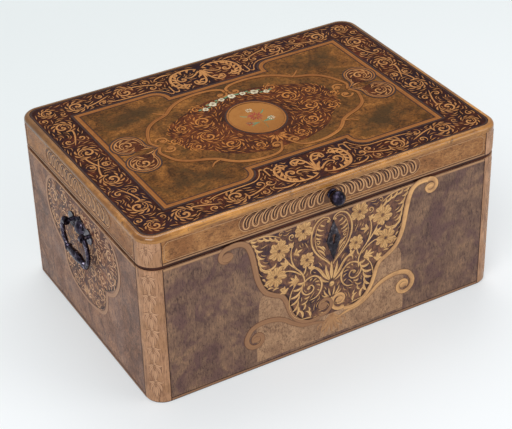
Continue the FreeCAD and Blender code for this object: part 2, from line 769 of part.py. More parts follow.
def build_handles():
    """Both ends' backplates, posts, nuts and bails."""
    for name, sign in (("left", -1), ("right", 1)):
        inner = sign * (half_length - wall + nut_recess)
        save("handle_plate_" + name, [handle_plate(sign)])
        save("handle_posts_" + name, [handle_post(sign, y) for y in post_ys()])
        save("handle_nuts_" + name, [hexagon_nut((inner, y, handle_height), (-sign, 0, 0), post_shank_radius)
                                     for y in post_ys()])
        hanging = bail()
        hanging.translate(FreeCAD.Vector(sign * (half_length + handle_stand_off), 0, handle_height))
        save("bail_" + name, [hanging])


os.makedirs("parts", exist_ok=True)
build_case()
build_lid()
build_hinges()
build_lock()
build_knob()
build_handles()
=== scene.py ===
"""The looks of a marquetry casket: veneers, inlay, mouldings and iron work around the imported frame.

Ornament is drawn flat in millimetres, as ribbons along lines, and then laid on the casket's faces.
"""

import logging
import math
from dataclasses import dataclass, replace
from enum import Enum
from typing import Any, Iterable, Sequence

import bpy
import numpy as np
from mathutils import Matrix, Vector


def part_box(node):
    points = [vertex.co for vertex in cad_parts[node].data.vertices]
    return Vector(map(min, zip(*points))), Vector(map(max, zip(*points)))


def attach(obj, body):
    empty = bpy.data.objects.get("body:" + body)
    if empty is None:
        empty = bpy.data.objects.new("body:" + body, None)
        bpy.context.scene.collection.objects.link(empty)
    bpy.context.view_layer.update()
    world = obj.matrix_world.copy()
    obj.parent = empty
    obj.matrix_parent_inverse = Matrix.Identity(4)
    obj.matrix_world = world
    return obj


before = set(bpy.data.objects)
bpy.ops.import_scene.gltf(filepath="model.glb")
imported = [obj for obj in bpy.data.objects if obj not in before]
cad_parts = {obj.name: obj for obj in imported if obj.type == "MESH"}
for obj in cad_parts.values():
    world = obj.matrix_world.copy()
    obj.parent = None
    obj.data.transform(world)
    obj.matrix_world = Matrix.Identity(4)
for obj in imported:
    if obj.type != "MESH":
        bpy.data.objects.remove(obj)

MM = 0.001
PHOTO_WIDTH = 512
# Lengths below this count as this when something is divided by them.
TINY = 1e-9
# How far apart a smooth line's points are, in millimetres.
STEP = 1.4
SIDES = ("front", "back", "left", "right")
ENDS = SIDES[2:]
CORNERS = (("front_left", -1, -1), ("front_right", 1, -1), ("back_left", -1, 1), ("back_right", 1, 1))
log = logging.getLogger("casket")

Point = tuple[float, float]
Colour = tuple[float, float, float]
Line = np.ndarray
Socket = bpy.types.NodeSocket


# Material nodes

def srgb(red: float, green: float, blue: float) -> tuple[float, float, float, float]:
    """The linear colour of a screen colour.

    Args:
        red: Red from 0 to 255.
        green: Green from 0 to 255.
        blue: Blue from 0 to 255.

    Returns:
        Linear red, green and blue, and an alpha of 1.
    """
    shares = [value / 255 for value in (red, green, blue)]
    linear = [s / 12.92 if s <= 0.04045 else ((s + 0.055) / 1.055) ** 2.4 for s in shares]
    return (linear[0], linear[1], linear[2], 1.0)


class Paint:
    """One material with its shader, and short calls that add linked nodes to it."""

    def __init__(self, name: str) -> None:
        """Starts a material whose shader reaches the output.

        Args:
            name: The material's name.
        """
        self.material = bpy.data.materials.new(name)
        self.material.use_nodes = True
        self.tree = self.material.node_tree
        self.tree.nodes.clear()
        self.shader = self.tree.nodes.new("ShaderNodeBsdfPrincipled")
        output = self.tree.nodes.new("ShaderNodeOutputMaterial")
        self.tree.links.new(self.shader.outputs[0], output.inputs[0])

    def node(self, kind: str, inputs: dict[Any, Any], **settings: Any) -> bpy.types.Node:
        """Adds a node.

        Args:
            kind: The node's type without its ShaderNode prefix.
            inputs: Each input's name or number, and a value or a socket to link.
            settings: The node's own settings.

        Returns:
            The new node.
        """
        made = self.tree.nodes.new("ShaderNode" + kind)
        for name, value in settings.items():
            setattr(made, name, value)
        for key, value in inputs.items():
            if isinstance(value, Socket):
                self.tree.links.new(value, made.inputs[key])
            else:
                made.inputs[key].default_value = value
        return made

    def place(self, scale: Sequence[float] = (1, 1, 1)) -> Socket:
        """Object coordinates in metres, scaled along each axis."""
        source = self.node("TexCoord", {}).outputs["Object"]
        return self.node("Mapping", {0: source, "Scale": scale}).outputs[0]

    def noise(self, vector: Socket, scale: float, detail: float = 4, rough: float = 0.6,
              warp: float = 0) -> Socket:
        """A noise value from about 0 to 1, whose patches are about 1 / scale metres across."""
        return self.node("TexNoise", {"Vector": vector, "Scale": scale, "Detail": detail, "Roughness": rough,
                                      "Distortion": warp}).outputs["Fac"]

    def cells(self, vector: Socket, scale: float) -> Socket:
        """The distance to the nearest of many scattered points."""
        return self.node("TexVoronoi", {"Vector": vector, "Scale": scale}).outputs["Distance"]

    def fit(self, value: Socket, low: float, high: float, to_low: float = 0, to_high: float = 1) -> Socket:
        """A value carried from one range to another, smoothly, and held at its ends."""
        return self.node("MapRange", {0: value, 1: low, 2: high, 3: to_low, 4: to_high},
                         interpolation_type="SMOOTHSTEP").outputs[0]

    def maths(self, operation: str, first: Any, second: Any = 0.0) -> Socket:
        """A sum, product or other operation on two values."""
        return self.node("Math", {0: first, 1: second}, operation=operation).outputs[0]

    def blend(self, first: Socket, second: Socket, share: float) -> Socket:
        """Two values averaged, the second with a given share."""
        rest = self.maths("MULTIPLY", first, 1 - share)
        return self.maths("ADD", rest, self.maths("MULTIPLY", second, share))

    def mix(self, share: Any, first: Any, second: Any) -> Socket:
        """Two colours mixed by a share, each a socket or a screen colour."""
        ends = [value if isinstance(value, Socket) else srgb(*value) for value in (first, second)]
        return self.node("Mix", {0: share, 6: ends[0], 7: ends[1]}, data_type="RGBA").outputs[2]

    def tone(self) -> Socket:
        """The tone stored on the mesh, which is 0 where none is stored."""
        return self.node("Attribute", {}, attribute_name="tone").outputs["Fac"]

    def strip(self) -> tuple[Socket, Socket]:
        """A ribbon's own coordinates: millimetres along it, and across it from -1 to 1."""
        both = self.node("SeparateXYZ", {0: self.node("UVMap", {}, uv_map="strip").outputs[0]})
        return both.outputs[0], both.outputs[1]

    def finish(self, colour: Socket, roughness: Socket | float, bumps: Sequence[tuple[Socket, float]] = (),
               **uniform: float) -> bpy.types.Material:
        """Links the shader.

        Args:
            colour: The base colour.
            roughness: The roughness.
            bumps: Height sockets, each with its depth in metres.
            uniform: Shader inputs that are the same all over, with underscores for spaces.

        Returns:
            The finished material.
        """
        self.tree.links.new(colour, self.shader.inputs["Base Color"])
        if isinstance(roughness, Socket):
            self.tree.links.new(roughness, self.shader.inputs["Roughness"])
        else:
            self.shader.inputs["Roughness"].default_value = roughness
        for key, value in uniform.items():
            self.shader.inputs[key.replace("_", " ")].default_value = value
        normal = {}
        for height, depth in bumps:
            normal = {"Normal": self.node("Bump", {"Height": height, "Distance": depth, **normal}).outputs[0]}
        if normal:
            self.tree.links.new(normal["Normal"], self.shader.inputs["Normal"])
        return self.material


# Finishes

@dataclass(frozen=True)
class Veneer:
    """A polished burr: clouds, a figure drawn out along one axis, a tint in patches, eyes and pores.

    Where a mesh stores a tone, the veneer darkens towards its heart colour.
    """

    name: str
    light: Colour
    middle: Colour
    dark: Colour
    tint: Colour
    stretch: Colour = (1, 1, 1)
    figure: float = 130.0
    cloud: float = 16.0
    eyes: float = 0.5
    pores: float = 0.5
    heart: Colour = (66, 48, 26)
    roughness: float = 0.42
    gloss: float = 0.2

    def build(self) -> bpy.types.Material:
        """Mixes the tones by clouds and figure, then adds tint, heart, eyes and pores.

        Returns:
            The finished material.
        """
        paint = Paint(self.name)
        plain, drawn = paint.place(), paint.place(self.stretch)
        cloud = paint.noise(plain, self.cloud, 6, 0.62, 1.6)
        figure = paint.noise(drawn, self.figure, 5, 0.7, 1.8)
        fine = paint.noise(drawn, self.figure * 4.5, 4, 0.72, 0.6)
        both = paint.blend(paint.blend(cloud, figure, 0.4), fine, 0.25)
        colour = paint.mix(paint.fit(both, 0.40, 0.53), self.dark, self.middle)
        colour = paint.mix(paint.fit(both, 0.50, 0.62), colour, self.light)
        patches = paint.noise(plain, self.cloud * 2.2, 3, 0.55, 0.8)
        colour = paint.mix(paint.fit(patches, 0.44, 0.66, 0, 0.75), colour, self.tint)
        veins = paint.maths("SUBTRACT", paint.blend(patches, figure, 0.6), 0.5)
        heart = paint.maths("ADD", paint.tone(), paint.maths("MULTIPLY", veins, 3.0))
        heart = paint.maths("MULTIPLY", paint.fit(heart, 0.3, 1.1, 0, 0.8), paint.fit(paint.tone(), 0, 0.3))
        colour = paint.mix(heart, colour, self.heart)
        deep = tuple(0.42 * value for value in self.dark)
        colour = paint.mix(paint.fit(fine, 0.30, 0.52, 0.55, 0), colour, deep)
        spots = paint.fit(paint.cells(drawn, self.figure * 2.6), 0.12, 0.26, 1, 0)
        groups = paint.fit(paint.noise(plain, self.cloud * 4, 2, 0.5, 0.8), 0.50, 0.64)
        eyes = paint.maths("MULTIPLY", paint.maths("MULTIPLY", spots, groups), self.eyes)
        colour = paint.mix(eyes, colour, deep)
        specks = paint.fit(paint.noise(drawn, self.figure * 14, 2, 0.5), 0.58, 0.72, 0, self.pores)
        colour = paint.mix(specks, colour, deep)
        shine = paint.fit(paint.noise(plain, 34, 5, 0.7), 0.3, 0.75, self.roughness - 0.08,
                          self.roughness + 0.14)
        waves = paint.noise(plain, 26, 3, 0.5)
        return paint.finish(colour, shine, [(waves, 0.0005), (figure, 0.0001), (specks, 0.00005)],
                            Specular_IOR_Level=self.gloss)


@dataclass(frozen=True)
class Inlay:
    """Engraved light wood: a burnt root and side, dark saw lines along both edges, a vein and hatching."""

    name: str
    light: Colour
    shade: Colour
    line: Colour = (50, 24, 14)
    edge: float = 0.78
    vein: float = 0.10
    vein_strength: float = 0.7
    root: float = 0.6
    hatch: float = 0.35
    roughness: float = 0.45
    gloss: float = 0.2

    def build(self) -> bpy.types.Material:
        """Shades a ribbon by where a point lies along and across it, and by its tone.

        Returns:
            The finished material.
        """
        paint = Paint(self.name)
        along, across = paint.strip()
        grain = paint.noise(paint.place(), 420, 4, 0.65, 0.5)
        cloud = paint.noise(paint.place(), 90, 3, 0.6)
        body = paint.mix(paint.tone(), self.shade, self.light)
        lean = paint.maths("ADD", across, paint.maths("MULTIPLY", paint.maths("SUBTRACT", grain, 0.5), 0.9))
        colour = paint.mix(paint.fit(lean, 0.0, 0.95, 0, 0.7), body, self.shade)
        colour = paint.mix(paint.fit(cloud, 0.45, 0.72, 0, 0.45), colour, self.shade)
        waves = paint.maths("SINE", paint.maths("MULTIPLY", paint.maths("ADD", along, lean), 2.6))
        hatching = paint.fit(paint.maths("ABSOLUTE", waves), 0, 0.4, self.hatch, 0)
        colour = paint.mix(hatching, colour, self.line)
        colour = paint.mix(paint.fit(along, 0.3, 2.6, self.root, 0), colour, self.line)
        distance = paint.maths("ABSOLUTE", across)
        outline = paint.fit(distance, self.edge, 0.97, 0, 0.9)
        vein = paint.fit(distance, 0, self.vein, self.vein_strength, 0) if self.vein else 0.0
        colour = paint.mix(paint.maths("MAXIMUM", outline, vein), colour, self.line)
        shine = paint.fit(grain, 0.3, 0.7, self.roughness - 0.06, self.roughness + 0.1)
        return paint.finish(colour, shine, [(grain, 0.00005)], Specular_IOR_Level=self.gloss)


@dataclass(frozen=True)
class Timber:
    """Planed wood with grain along one axis, worn paler in patches, and darker towards the back as painted
    shade.
    """

    name: str
    light: Colour
    dark: Colour
    stretch: Colour = (0.08, 1, 1)
    rings: float = 260.0
    roughness: float = 0.6
    gloss: float = 0.2
    wear: float = 0.0
    # The share of painted shade that darkens the wood towards the back.
    shade: float = 0.0

    def build(self) -> bpy.types.Material:
        """Mixes two tones by drawn-out noise, with fine fibres, worn patches and painted shade towards the
        back.

        Returns:
            The finished material.
        """
        paint = Paint(self.name)
        drawn = paint.place(self.stretch)
        rings = paint.noise(drawn, self.rings, 5, 0.65, 0.6)
        fibres = paint.noise(drawn, self.rings * 6, 3, 0.6)
        colour = paint.mix(paint.fit(rings, 0.35, 0.66), self.dark, self.light)
        colour = paint.mix(paint.fit(fibres, 0.50, 0.70, 0, 0.55), colour, self.dark)
        worn = paint.fit(paint.noise(paint.place(), 45, 5, 0.7), 0.50, 0.70, 0, self.wear)
        pale = tuple(min(255.0, 1.15 * value + 10) for value in self.light)
        colour = paint.mix(worn, colour, pale)
        # Painted shade: the wood darkens towards the back, by its place along Y.
        depth = paint.node("SeparateXYZ", {0: paint.place()}).outputs[1]
        painted_back_shade = tuple(0.7 * value for value in self.dark)
        colour = paint.mix(paint.fit(depth, -0.12, 0.16, 0, self.shade), colour, painted_back_shade)
        nicks = paint.fit(paint.noise(paint.place(), 160, 4, 0.7), 0.60, 0.70, 0, 0.6)
        colour = paint.mix(nicks, colour, tuple(0.6 * value for value in self.dark))
        shine = paint.fit(rings, 0.3, 0.7, self.roughness - 0.08, self.roughness + 0.08)
        return paint.finish(colour, shine, [(rings, 0.0001), (fibres, 0.00005), (nicks, 0.00008)],
                            Specular_IOR_Level=self.gloss)


@dataclass(frozen=True)
class Iron:
    """Old metal: a dark patina with bluish clouds, pale patches of worn metal and painted highlights, and
    fine pitting.
    """

    name: str
    dark: Colour
    light: Colour
    tint: Colour
    roughness: float = 0.34
    metallic: float = 0.85
    brush: Colour = (1, 1, 1)

    def build(self) -> bpy.types.Material:
        """Mixes patina, tint, and worn metal with painted highlights, by noise.

        Returns:
            The finished material.
        """
        paint = Paint(self.name)
        patina = paint.noise(paint.place(), 150, 6, 0.7, 0.5)
        fine = paint.noise(paint.place(self.brush), 1500, 3, 0.6)
        colour = paint.mix(paint.fit(patina, 0.35, 0.65), self.dark, self.tint)
        # Pale patches: worn metal, and painted highlights that stand in for the lamps' reflections.
        worn_and_glints = paint.fit(paint.blend(patina, fine, 0.25), 0.52, 0.68)
        colour = paint.mix(worn_and_glints, colour, self.light)
        shine = paint.fit(patina, 0.3, 0.7, self.roughness - 0.08, self.roughness + 0.16)
        return paint.finish(colour, shine, [(patina, 0.00012), (fine, 0.00004)], Metallic=self.metallic)


@dataclass(frozen=True)
class LiningPaper:
    """Faded lining paper with a small printed diaper of dots, foxed here and there."""

    name: str
    ground: Colour
    dots: Colour
    foxing: Colour
    pitch: float = 0.012

    def build(self) -> bpy.types.Material:
        """Prints dots where the products of pairs of waves add up, over mottled paper.

        Returns:
            The finished material.
        """
        paint = Paint(self.name)
        parts = paint.node("SeparateXYZ", {0: paint.place()})
        turns = 2 * math.pi / self.pitch
        waves = [paint.maths("SINE", paint.maths("MULTIPLY", axis, turns)) for axis in parts.outputs]
        pairs = [paint.maths("MULTIPLY", waves[one], waves[one - 1]) for one in range(3)]
        crossing = paint.maths("ADD", paint.maths("ADD", pairs[0], pairs[1]), pairs[2])
        mottle = paint.noise(paint.place(), 60, 6, 0.7)
        colour = paint.mix(paint.fit(crossing, 0.7, 0.95, 0, 0.7), self.ground, self.dots)
        colour = paint.mix(paint.fit(mottle, 0.52, 0.72, 0, 0.55), colour, self.foxing)
        fibre = paint.noise(paint.place(), 1800, 3, 0.7)
        return paint.finish(colour, 0.88, [(mottle, 0.0002), (fibre, 0.00008)], Specular_IOR_Level=0.2)


class Tone(Enum):
    """The casket's finishes."""

    SIDE = Veneer("side_burr", (160, 124, 96), (135, 104, 85), (98, 72, 64), (106, 76, 74),
                  stretch=(1, 1, 0.3), figure=160, cloud=22)
    END_SIDE = Veneer("end_side_burr", (178, 130, 98), (149, 108, 84), (98, 69, 57), (118, 83, 68),
                      stretch=(1, 1, 0.5), figure=130, cloud=26)
    LID_SIDE = Veneer("lid_side_burr", (198, 144, 90), (174, 120, 73), (130, 86, 54), (150, 98, 58),
                      stretch=(0.5, 0.5, 1))
    FIELD = Veneer("field_burr", (204, 160, 122), (184, 144, 110), (144, 108, 84), (164, 126, 96),
                   stretch=(1, 1, 0.6), figure=110, cloud=26)
    END_FIELD = Veneer("end_field_burr", (190, 142, 110), (160, 118, 94), (112, 80, 66), (132, 94, 76),
                       stretch=(1, 1, 0.5), figure=110, cloud=20)
    PANEL = Veneer("panel_burr", (162, 106, 50), (124, 78, 35), (74, 46, 21), (98, 66, 30),
                   stretch=(0.8, 1, 1), figure=100, cloud=22, roughness=0.4, gloss=0.05)
    HEART = Veneer("panel_heart", (126, 66, 32), (92, 46, 22), (50, 25, 15), (74, 36, 22),
                   stretch=(0.8, 1, 1), figure=110, cloud=22, roughness=0.4, gloss=0.05)
    GROUND = Veneer("dark_ground", (94, 43, 22), (62, 27, 15), (34, 16, 13), (38, 20, 30),
                    stretch=(0.4, 1, 1), figure=150, cloud=20, eyes=0.2, roughness=0.4, gloss=0.05)
    PATCH = Veneer("patch_ground", (152, 106, 78), (122, 83, 64), (74, 50, 45), (46, 31, 52),
                   stretch=(1, 1, 0.5), figure=130, cloud=40, eyes=0.2, roughness=0.38)
    FLUTE_GROUND = Veneer("flute_ground", (164, 116, 76), (138, 94, 62), (98, 66, 48), (112, 72, 54),
                          stretch=(0.5, 0.5, 1), figure=130, cloud=34)
    WARM = Veneer("warm_ground", (150, 96, 68), (116, 73, 54), (72, 45, 38), (82, 50, 44),
                  stretch=(1, 1, 0.5), figure=130, cloud=24, eyes=0.2)
    CORNER = Veneer("corner_wood", (212, 162, 126), (192, 145, 110), (158, 115, 87), (178, 132, 96),
                    stretch=(1, 1, 0.1), figure=160, cloud=20, eyes=0.1)
    MOULDING = Timber("moulding_wood", (202, 140, 66), (136, 87, 38), stretch=(0.05, 0.05, 1), rings=240,
                      roughness=0.22, gloss=0.6, wear=0.4, shade=0.8)
    EBONISED = Timber("ebonised_wood", (88, 44, 29), (44, 22, 16), stretch=(0.08, 0.08, 1), rings=300,
                      roughness=0.38)
    TIMBER = Timber("case_timber", (176, 134, 88), (136, 96, 58), rings=240, roughness=0.62)
    PAPER = LiningPaper("lining_paper", (118, 128, 118), (168, 156, 124), (112, 92, 62))
    IRON = Iron("blackened_iron", (30, 27, 36), (204, 198, 214), (80, 72, 90), roughness=0.18, metallic=0.92)
    KNOB = Iron("knob_black", (24, 21, 30), (92, 84, 104), (50, 44, 60), roughness=0.14, metallic=0.9)
    STEEL = Iron("lock_steel", (34, 31, 35), (132, 126, 130), (62, 57, 64), roughness=0.32, metallic=0.9,
                 brush=(1, 1, 0.1))
    GOLD = Inlay("gold_inlay", (246, 196, 134), (154, 105, 66), (46, 28, 28), edge=0.52, vein=0.12,
                 vein_strength=0.8, gloss=0.1)
    CREAM = Inlay("cream_inlay", (224, 174, 124), (182, 128, 84), (70, 38, 26), edge=0.5, vein=0.0,
                  root=0.3, hatch=0.1)
    SIDE_GOLD = Inlay("side_inlay", (246, 197, 152), (168, 120, 90), (52, 30, 28), edge=0.7)
    TOP_GOLD = Inlay("top_gold_inlay", (206, 147, 89), (138, 85, 46), (46, 20, 10), gloss=0.05)
    LEAF = Inlay("leaf_inlay", (206, 136, 70), (148, 88, 40), (54, 28, 14), gloss=0.05)
    STRAP = Inlay("strap_inlay", (244, 188, 126), (152, 110, 82), (88, 56, 38), edge=0.7, vein=0.06,
                  vein_strength=0.5, root=0.0, hatch=0.14)
    PANEL_STRAP = Inlay("panel_strap_inlay", (190, 126, 66), (128, 76, 38), (58, 30, 15), edge=0.58,
                        vein_strength=0.75, root=0.0, hatch=0.22, gloss=0.05)
    SIDE_STRAP = Inlay("side_strap_inlay", (212, 166, 130), (170, 128, 100), (108, 74, 56), edge=0.72,
                       vein=0.05, vein_strength=0.35, root=0.0, hatch=0.1)
    LINE = Inlay("line_inlay", (206, 160, 116), (154, 115, 86), (116, 78, 54), edge=0.92, vein=0.0,
                 root=0.0, hatch=0.05)
    ENGRAVED = Inlay("engraved_inlay", (222, 174, 136), (180, 134, 102), (80, 50, 36), edge=0.5,
                     vein=0.12, vein_strength=0.8, hatch=0.3)
    DARK_LINE = Inlay("dark_line", (66, 38, 28), (48, 26, 22), (30, 16, 14), edge=0.95, vein=0.0,
                      root=0.0, hatch=0.0)
    MEDALLION = Inlay("medallion_inlay", (170, 114, 58), (144, 92, 44), (110, 66, 30), edge=0.97,
                      vein=0.0, root=0.0, hatch=0.08, gloss=0.05)
    RED = Inlay("red_petal", (176, 70, 50), (120, 40, 30), (58, 20, 14))
    GREEN = Inlay("green_leaf", (126, 160, 118), (66, 98, 70), (30, 42, 32))
    PEARL = Inlay("pearl_petal", (228, 218, 188), (184, 168, 134), (90, 68, 46))


SLOTS = {
    Tone.FIELD: "burr_veneer",
    Tone.END_FIELD: "burr_veneer",
    Tone.PANEL: "panel_veneer",
    Tone.PATCH: "dark_ground",
    Tone.WARM: "dark_ground",
    Tone.FLUTE_GROUND: "dark_ground",
    Tone.HEART: "dark_ground",
    Tone.DARK_LINE: "ebonised_wood",
    Tone.ENGRAVED: "corner_veneer",
}


class Palette:
    """Builds each finish once."""

    def __init__(self) -> None:
        """Starts with no material built."""
        self.built: dict[Tone, bpy.types.Material] = {}

    def __call__(self, tone: Tone) -> bpy.types.Material:
        """The material of a finish.

        Args:
            tone: The finish.

        Returns:
            The material, built the first time it is asked for.
        """
        if tone not in self.built:
            self.built[tone] = tone.value.build()
        return self.built[tone]


# Lines on a flat sheet, in millimetres

def unit(steps: Line) -> Line:
    """Directions of length one."""
    return steps / np.maximum(np.hypot(*steps.T), TINY)[:, None]


def even(line: Line, count: int) -> Line:
    """A line's points moved along it to equal steps.

    Args:
        line: The line's points.
        count: How many points the new line gets.

    Returns:
        The new line.
    """
    travelled = np.concatenate([[0.0], np.cumsum(np.hypot(*np.diff(line, axis=0).T))])
    wanted = np.linspace(0, travelled[-1], count)
    return np.stack([np.interp(wanted, travelled, line[:, axis]) for axis in (0, 1)], axis=1)


def smooth(points: Sequence[Point]) -> Line:
    """A smooth line through points: on each span, the cubic whose end slopes are half its neighbours' chord.

    Args:
        points: The points that the line passes through.

    Returns:
        The line's points.
    """
    knots = np.asarray(points, float)
    padded = np.vstack([2 * knots[0] - knots[1], knots, 2 * knots[-1] - knots[-2]])
    places = np.linspace(0, len(knots) - 1, 10 * (len(knots) - 1) + 1)
    span = np.minimum(places.astype(int), len(knots) - 2)
    share = (places - span)[:, None]
    a, b, c, d = (padded[span + shift] for shift in range(4))
    line = 0.5 * (2 * b + (c - a) * share + (2 * a - 5 * b + 4 * c - d) * share ** 2
                  + (3 * b - a - 3 * c + d) * share ** 3)
    length = np.hypot(*np.diff(line, axis=0).T).sum()
    return even(line, max(6, int(length / STEP)))


def polar(centre: Point, radius: float, degrees: float) -> Point:
    """A point at a distance and an angle from a centre."""
    angle = math.radians(degrees)
    return (centre[0] + radius * math.cos(angle), centre[1] + radius * math.sin(angle))


def spiral(centre: Point, outer: float, inner: float, start: float, turn: float, count: int = 26) -> Line:
    """A logarithmic spiral: the radius falls by equal shares over equal angles.

    Args:
        centre: The spiral's eye.
        outer: The radius where it starts.
        inner: The radius where it ends.
        start: The start's angle in degrees.
        turn: How many degrees it turns, negative for clockwise.
        count: How many points it gets.

    Returns:
        The spiral's points.
    """
    share = np.linspace(0, 1, count)
    angle = np.radians(start + turn * share)
    radius = outer * (inner / outer) ** share
    return np.stack([centre[0] + radius * np.cos(angle), centre[1] + radius * np.sin(angle)], axis=1)


class Section(Enum):
    """Sections across a ribbon: places from -1 to 1, and heights from 0 to 1."""

    RIDGE = ((-1.0, 0.0), (0.0, 1.0), (1.0, 0.0))
    TABLE = ((-1.0, 0.0), (-0.94, 1.0), (0.94, 1.0), (1.0, 0.0))
    FIELD = ((-1.0, 0.0), (-0.97, 1.0), (-0.6, 1.0), (-0.2, 1.0),
             (0.2, 1.0), (0.6, 1.0), (0.97, 1.0), (1.0, 0.0))


@dataclass(frozen=True)
class Ribbon:
    """A piece of inlay: a line, its half width and tone at each point, and its section.

    A field's tone fades to nothing at its edge. Where across is given, the ribbon is measured along
    it instead of square to its line.
    """

    line: Line
    half: np.ndarray
    tone: float | np.ndarray = 0.7
    section: Section = Section.RIDGE
    closed: bool = False
    across: Point | None = None

    def mirrored(self, x: bool = True, y: bool = False, dim: float = 1) -> "Ribbon":
        """The same piece across the upright axis, the level one or both, with its tone scaled.

        Args:
            x: Whether left and right change places.
            y: Whether top and bottom change places.
            dim: The factor on the tone.

        Returns:
            The mirrored piece.
        """
        sign = np.array([-1.0 if x else 1.0, -1.0 if y else 1.0])
        across = self.across and tuple(sign[0] * sign[1] * sign * np.array(self.across))
        return replace(self, line=self.line * sign, across=across, tone=self.tone * dim)

    def moved(self, right: float, up: float, turn: float = 0) -> "Ribbon":
        """The same piece turned about the sheet's origin by some degrees, then moved.

        Args:
            right: How far it moves across.
            up: How far it moves up.
            turn: How many degrees it turns first, anticlockwise.

        Returns:
            The moved piece.
        """
        angle = math.radians(turn)
        spin = np.array([[math.cos(angle), math.sin(angle)], [-math.sin(angle), math.cos(angle)]])
        across = self.across and tuple(np.array(self.across) @ spin)
        return replace(self, line=self.line @ spin + np.array([right, up]), across=across)


Ribbons = list[Ribbon]


def whole(half: Sequence[Point]) -> Line:
    """A closed outline from its right half: out along it, and back along its mirrored image."""
    return np.array([*half, *((-x, y) for x, y in reversed(half))])


def half_of(quarter: Sequence[Point], level: float = 0.0) -> list[Point]:
    """The right half of an outline, from a quarter of it and the level that it is mirrored about."""
    return [*quarter, *((x, 2 * level - y) for x, y in reversed(quarter))]


def both_sides(ribbons: Iterable[Ribbon], dim: float = 1) -> Ribbons:
    """The pieces and their images across the upright axis, whose tone is scaled."""
    found = list(ribbons)
    return found + [ribbon.mirrored(dim=dim) for ribbon in found]


def four_ways(ribbons: Iterable[Ribbon]) -> Ribbons:
    """The pieces mirrored across both axes."""
    pair = both_sides(ribbons)
    return pair + [ribbon.mirrored(False, True) for ribbon in pair]


def along(values: float | Sequence[float], count: int) -> np.ndarray:
    """Values given at even places, read off at more places between them."""
    known = np.atleast_1d(np.asarray(values, float))
    return np.interp(np.linspace(0, 1, count), np.linspace(0, 1, len(known)), known)


def band(points: Sequence[Point] | Line, half: float | Sequence[float], tone: float | Sequence[float] = 0.6,
         closed: bool = False) -> Ribbon:
    """A flat band along a ready line, or along a smooth line through points.

    Args:
        points: A line as an array, or a list of points to pass through.
        half: The half width, once or at even places along the line.
        tone: The tone, once or at even places along the line.
        closed: Whether the line's end meets its start.

    Returns:
        The band.
    """
    line = points if isinstance(points, np.ndarray) else smooth(points)
    return Ribbon(line, along(half, len(line)), along(tone, len(line)), Section.TABLE, closed)


def straight(start: Point, end: Point, half: float, tone: float = 0.6) -> Ribbon:
    """A straight flat band between two points."""
    return band(np.array([start, end], float), half, tone)


def stroke(points: Sequence[Point] | Line, half: float | Sequence[float], tone: float = 0.8) -> Ribbon:
    """A ridged line that swells and thins."""
    return replace(band(points, half, tone), section=Section.RIDGE)


def leaf(base: Point, tip: Point, bend: float = 0.2, width: float = 2.4, tone: float = 0.7,
         blunt: float = 0.8) -> Ribbon:
    """A curved leaf, which swells past its base and comes to a tip.

    The line is the parabola whose middle control point lies off the chord, to the left of it, by
    bend times its length. The half width is a sine of the share travelled raised to a power.

    Args:
        base: Where the leaf starts.
        tip: Where it ends.
        bend: How far it bends.
        width: Its width at its widest.
        tone: Its tone.
        blunt: The power: above 1 the leaf is widest towards its tip.

    Returns:
        The leaf.
    """
    share = np.linspace(0, 1, 8)[:, None]
    first, last = np.asarray(base, float), np.asarray(tip, float)
    chord = last - first
    middle = (first + last) / 2 + bend * np.array([-chord[1], chord[0]])
    line = (1 - share) ** 2 * first + 2 * share * (1 - share) * middle + share ** 2 * last
    return Ribbon(line, width / 2 * np.sin(math.pi * share[:, 0] ** blunt) + 0.06, tone)


def spot(centre: Point, radius: float, tone: float = 0.7, squash: float = 1.0,
         section: Section = Section.RIDGE, count: int = 11) -> Ribbon:
    """A round or oval piece: a level ribbon whose half width is a circle's, squashed or stretched.

    Args:
        centre: Its middle.
        radius: Half its length from left to right.
        tone: Its tone.
        squash: Its height as a share of its length.
        section: Its section.
        count: How many points its line gets.

    Returns:
        The piece.
    """
    share = -np.cos(np.linspace(0, math.pi, count))
    line = np.stack([centre[0] + radius * share, np.full(count, centre[1])], axis=1)
    half = squash * radius * np.sqrt(np.clip(1 - share ** 2, 0, 1)) + 0.03
    return Ribbon(line, half, tone, section, across=(0.0, 1.0))


def plot(places: Sequence[Point]) -> Ribbon:
    """A field symmetrical about the upright axis, from pairs of a height and its half width.

    Args:
        places: The pairs, from the top down.

    Returns:
        The field.
    """
    rows = 60
    heights, widths = np.asarray(places, float).T
    wanted = np.linspace(heights[0], heights[-1], rows)
    half = np.interp(-wanted, -heights, widths)
    return Ribbon(np.stack([np.zeros(rows), wanted], axis=1), half, 0.0, Section.TABLE)


def area(places: Sequence[tuple[float, float, float]], tone: float = 1.0) -> Ribbon:
    """A field with a heart, from triples of a place from left to right and its lowest and highest points.

    Args:
        places: The triples, from left to right.
        tone: The tone of its heart.

    Returns:
        The field.
    """
    x, low, high = np.asarray(places, float).T
    wanted = np.linspace(x[0], x[-1], 24)
    low, high = np.interp(wanted, x, low), np.interp(wanted, x, high)
    line = np.stack([wanted, (low + high) / 2], axis=1)
    return Ribbon(line, (high - low) / 2, tone, Section.FIELD, across=(0.0, 1.0))


# Ornament drawn from ribbons

def inner_line(shield: Sequence[Point], inset: float, half: float) -> Ribbons:
    """A line inside both edges of a shield.

    Args:
        shield: The shield's heights, each with its half width.
        inset: How far inside the edge the line runs.
        half: The line's half width.

    Returns:
        The two lines.
    """
    line = [(reach - inset, up) for up, reach in shield[1:-1]]
    return both_sides([band(line, [0.4, half, half, 0.5], 0.3)])


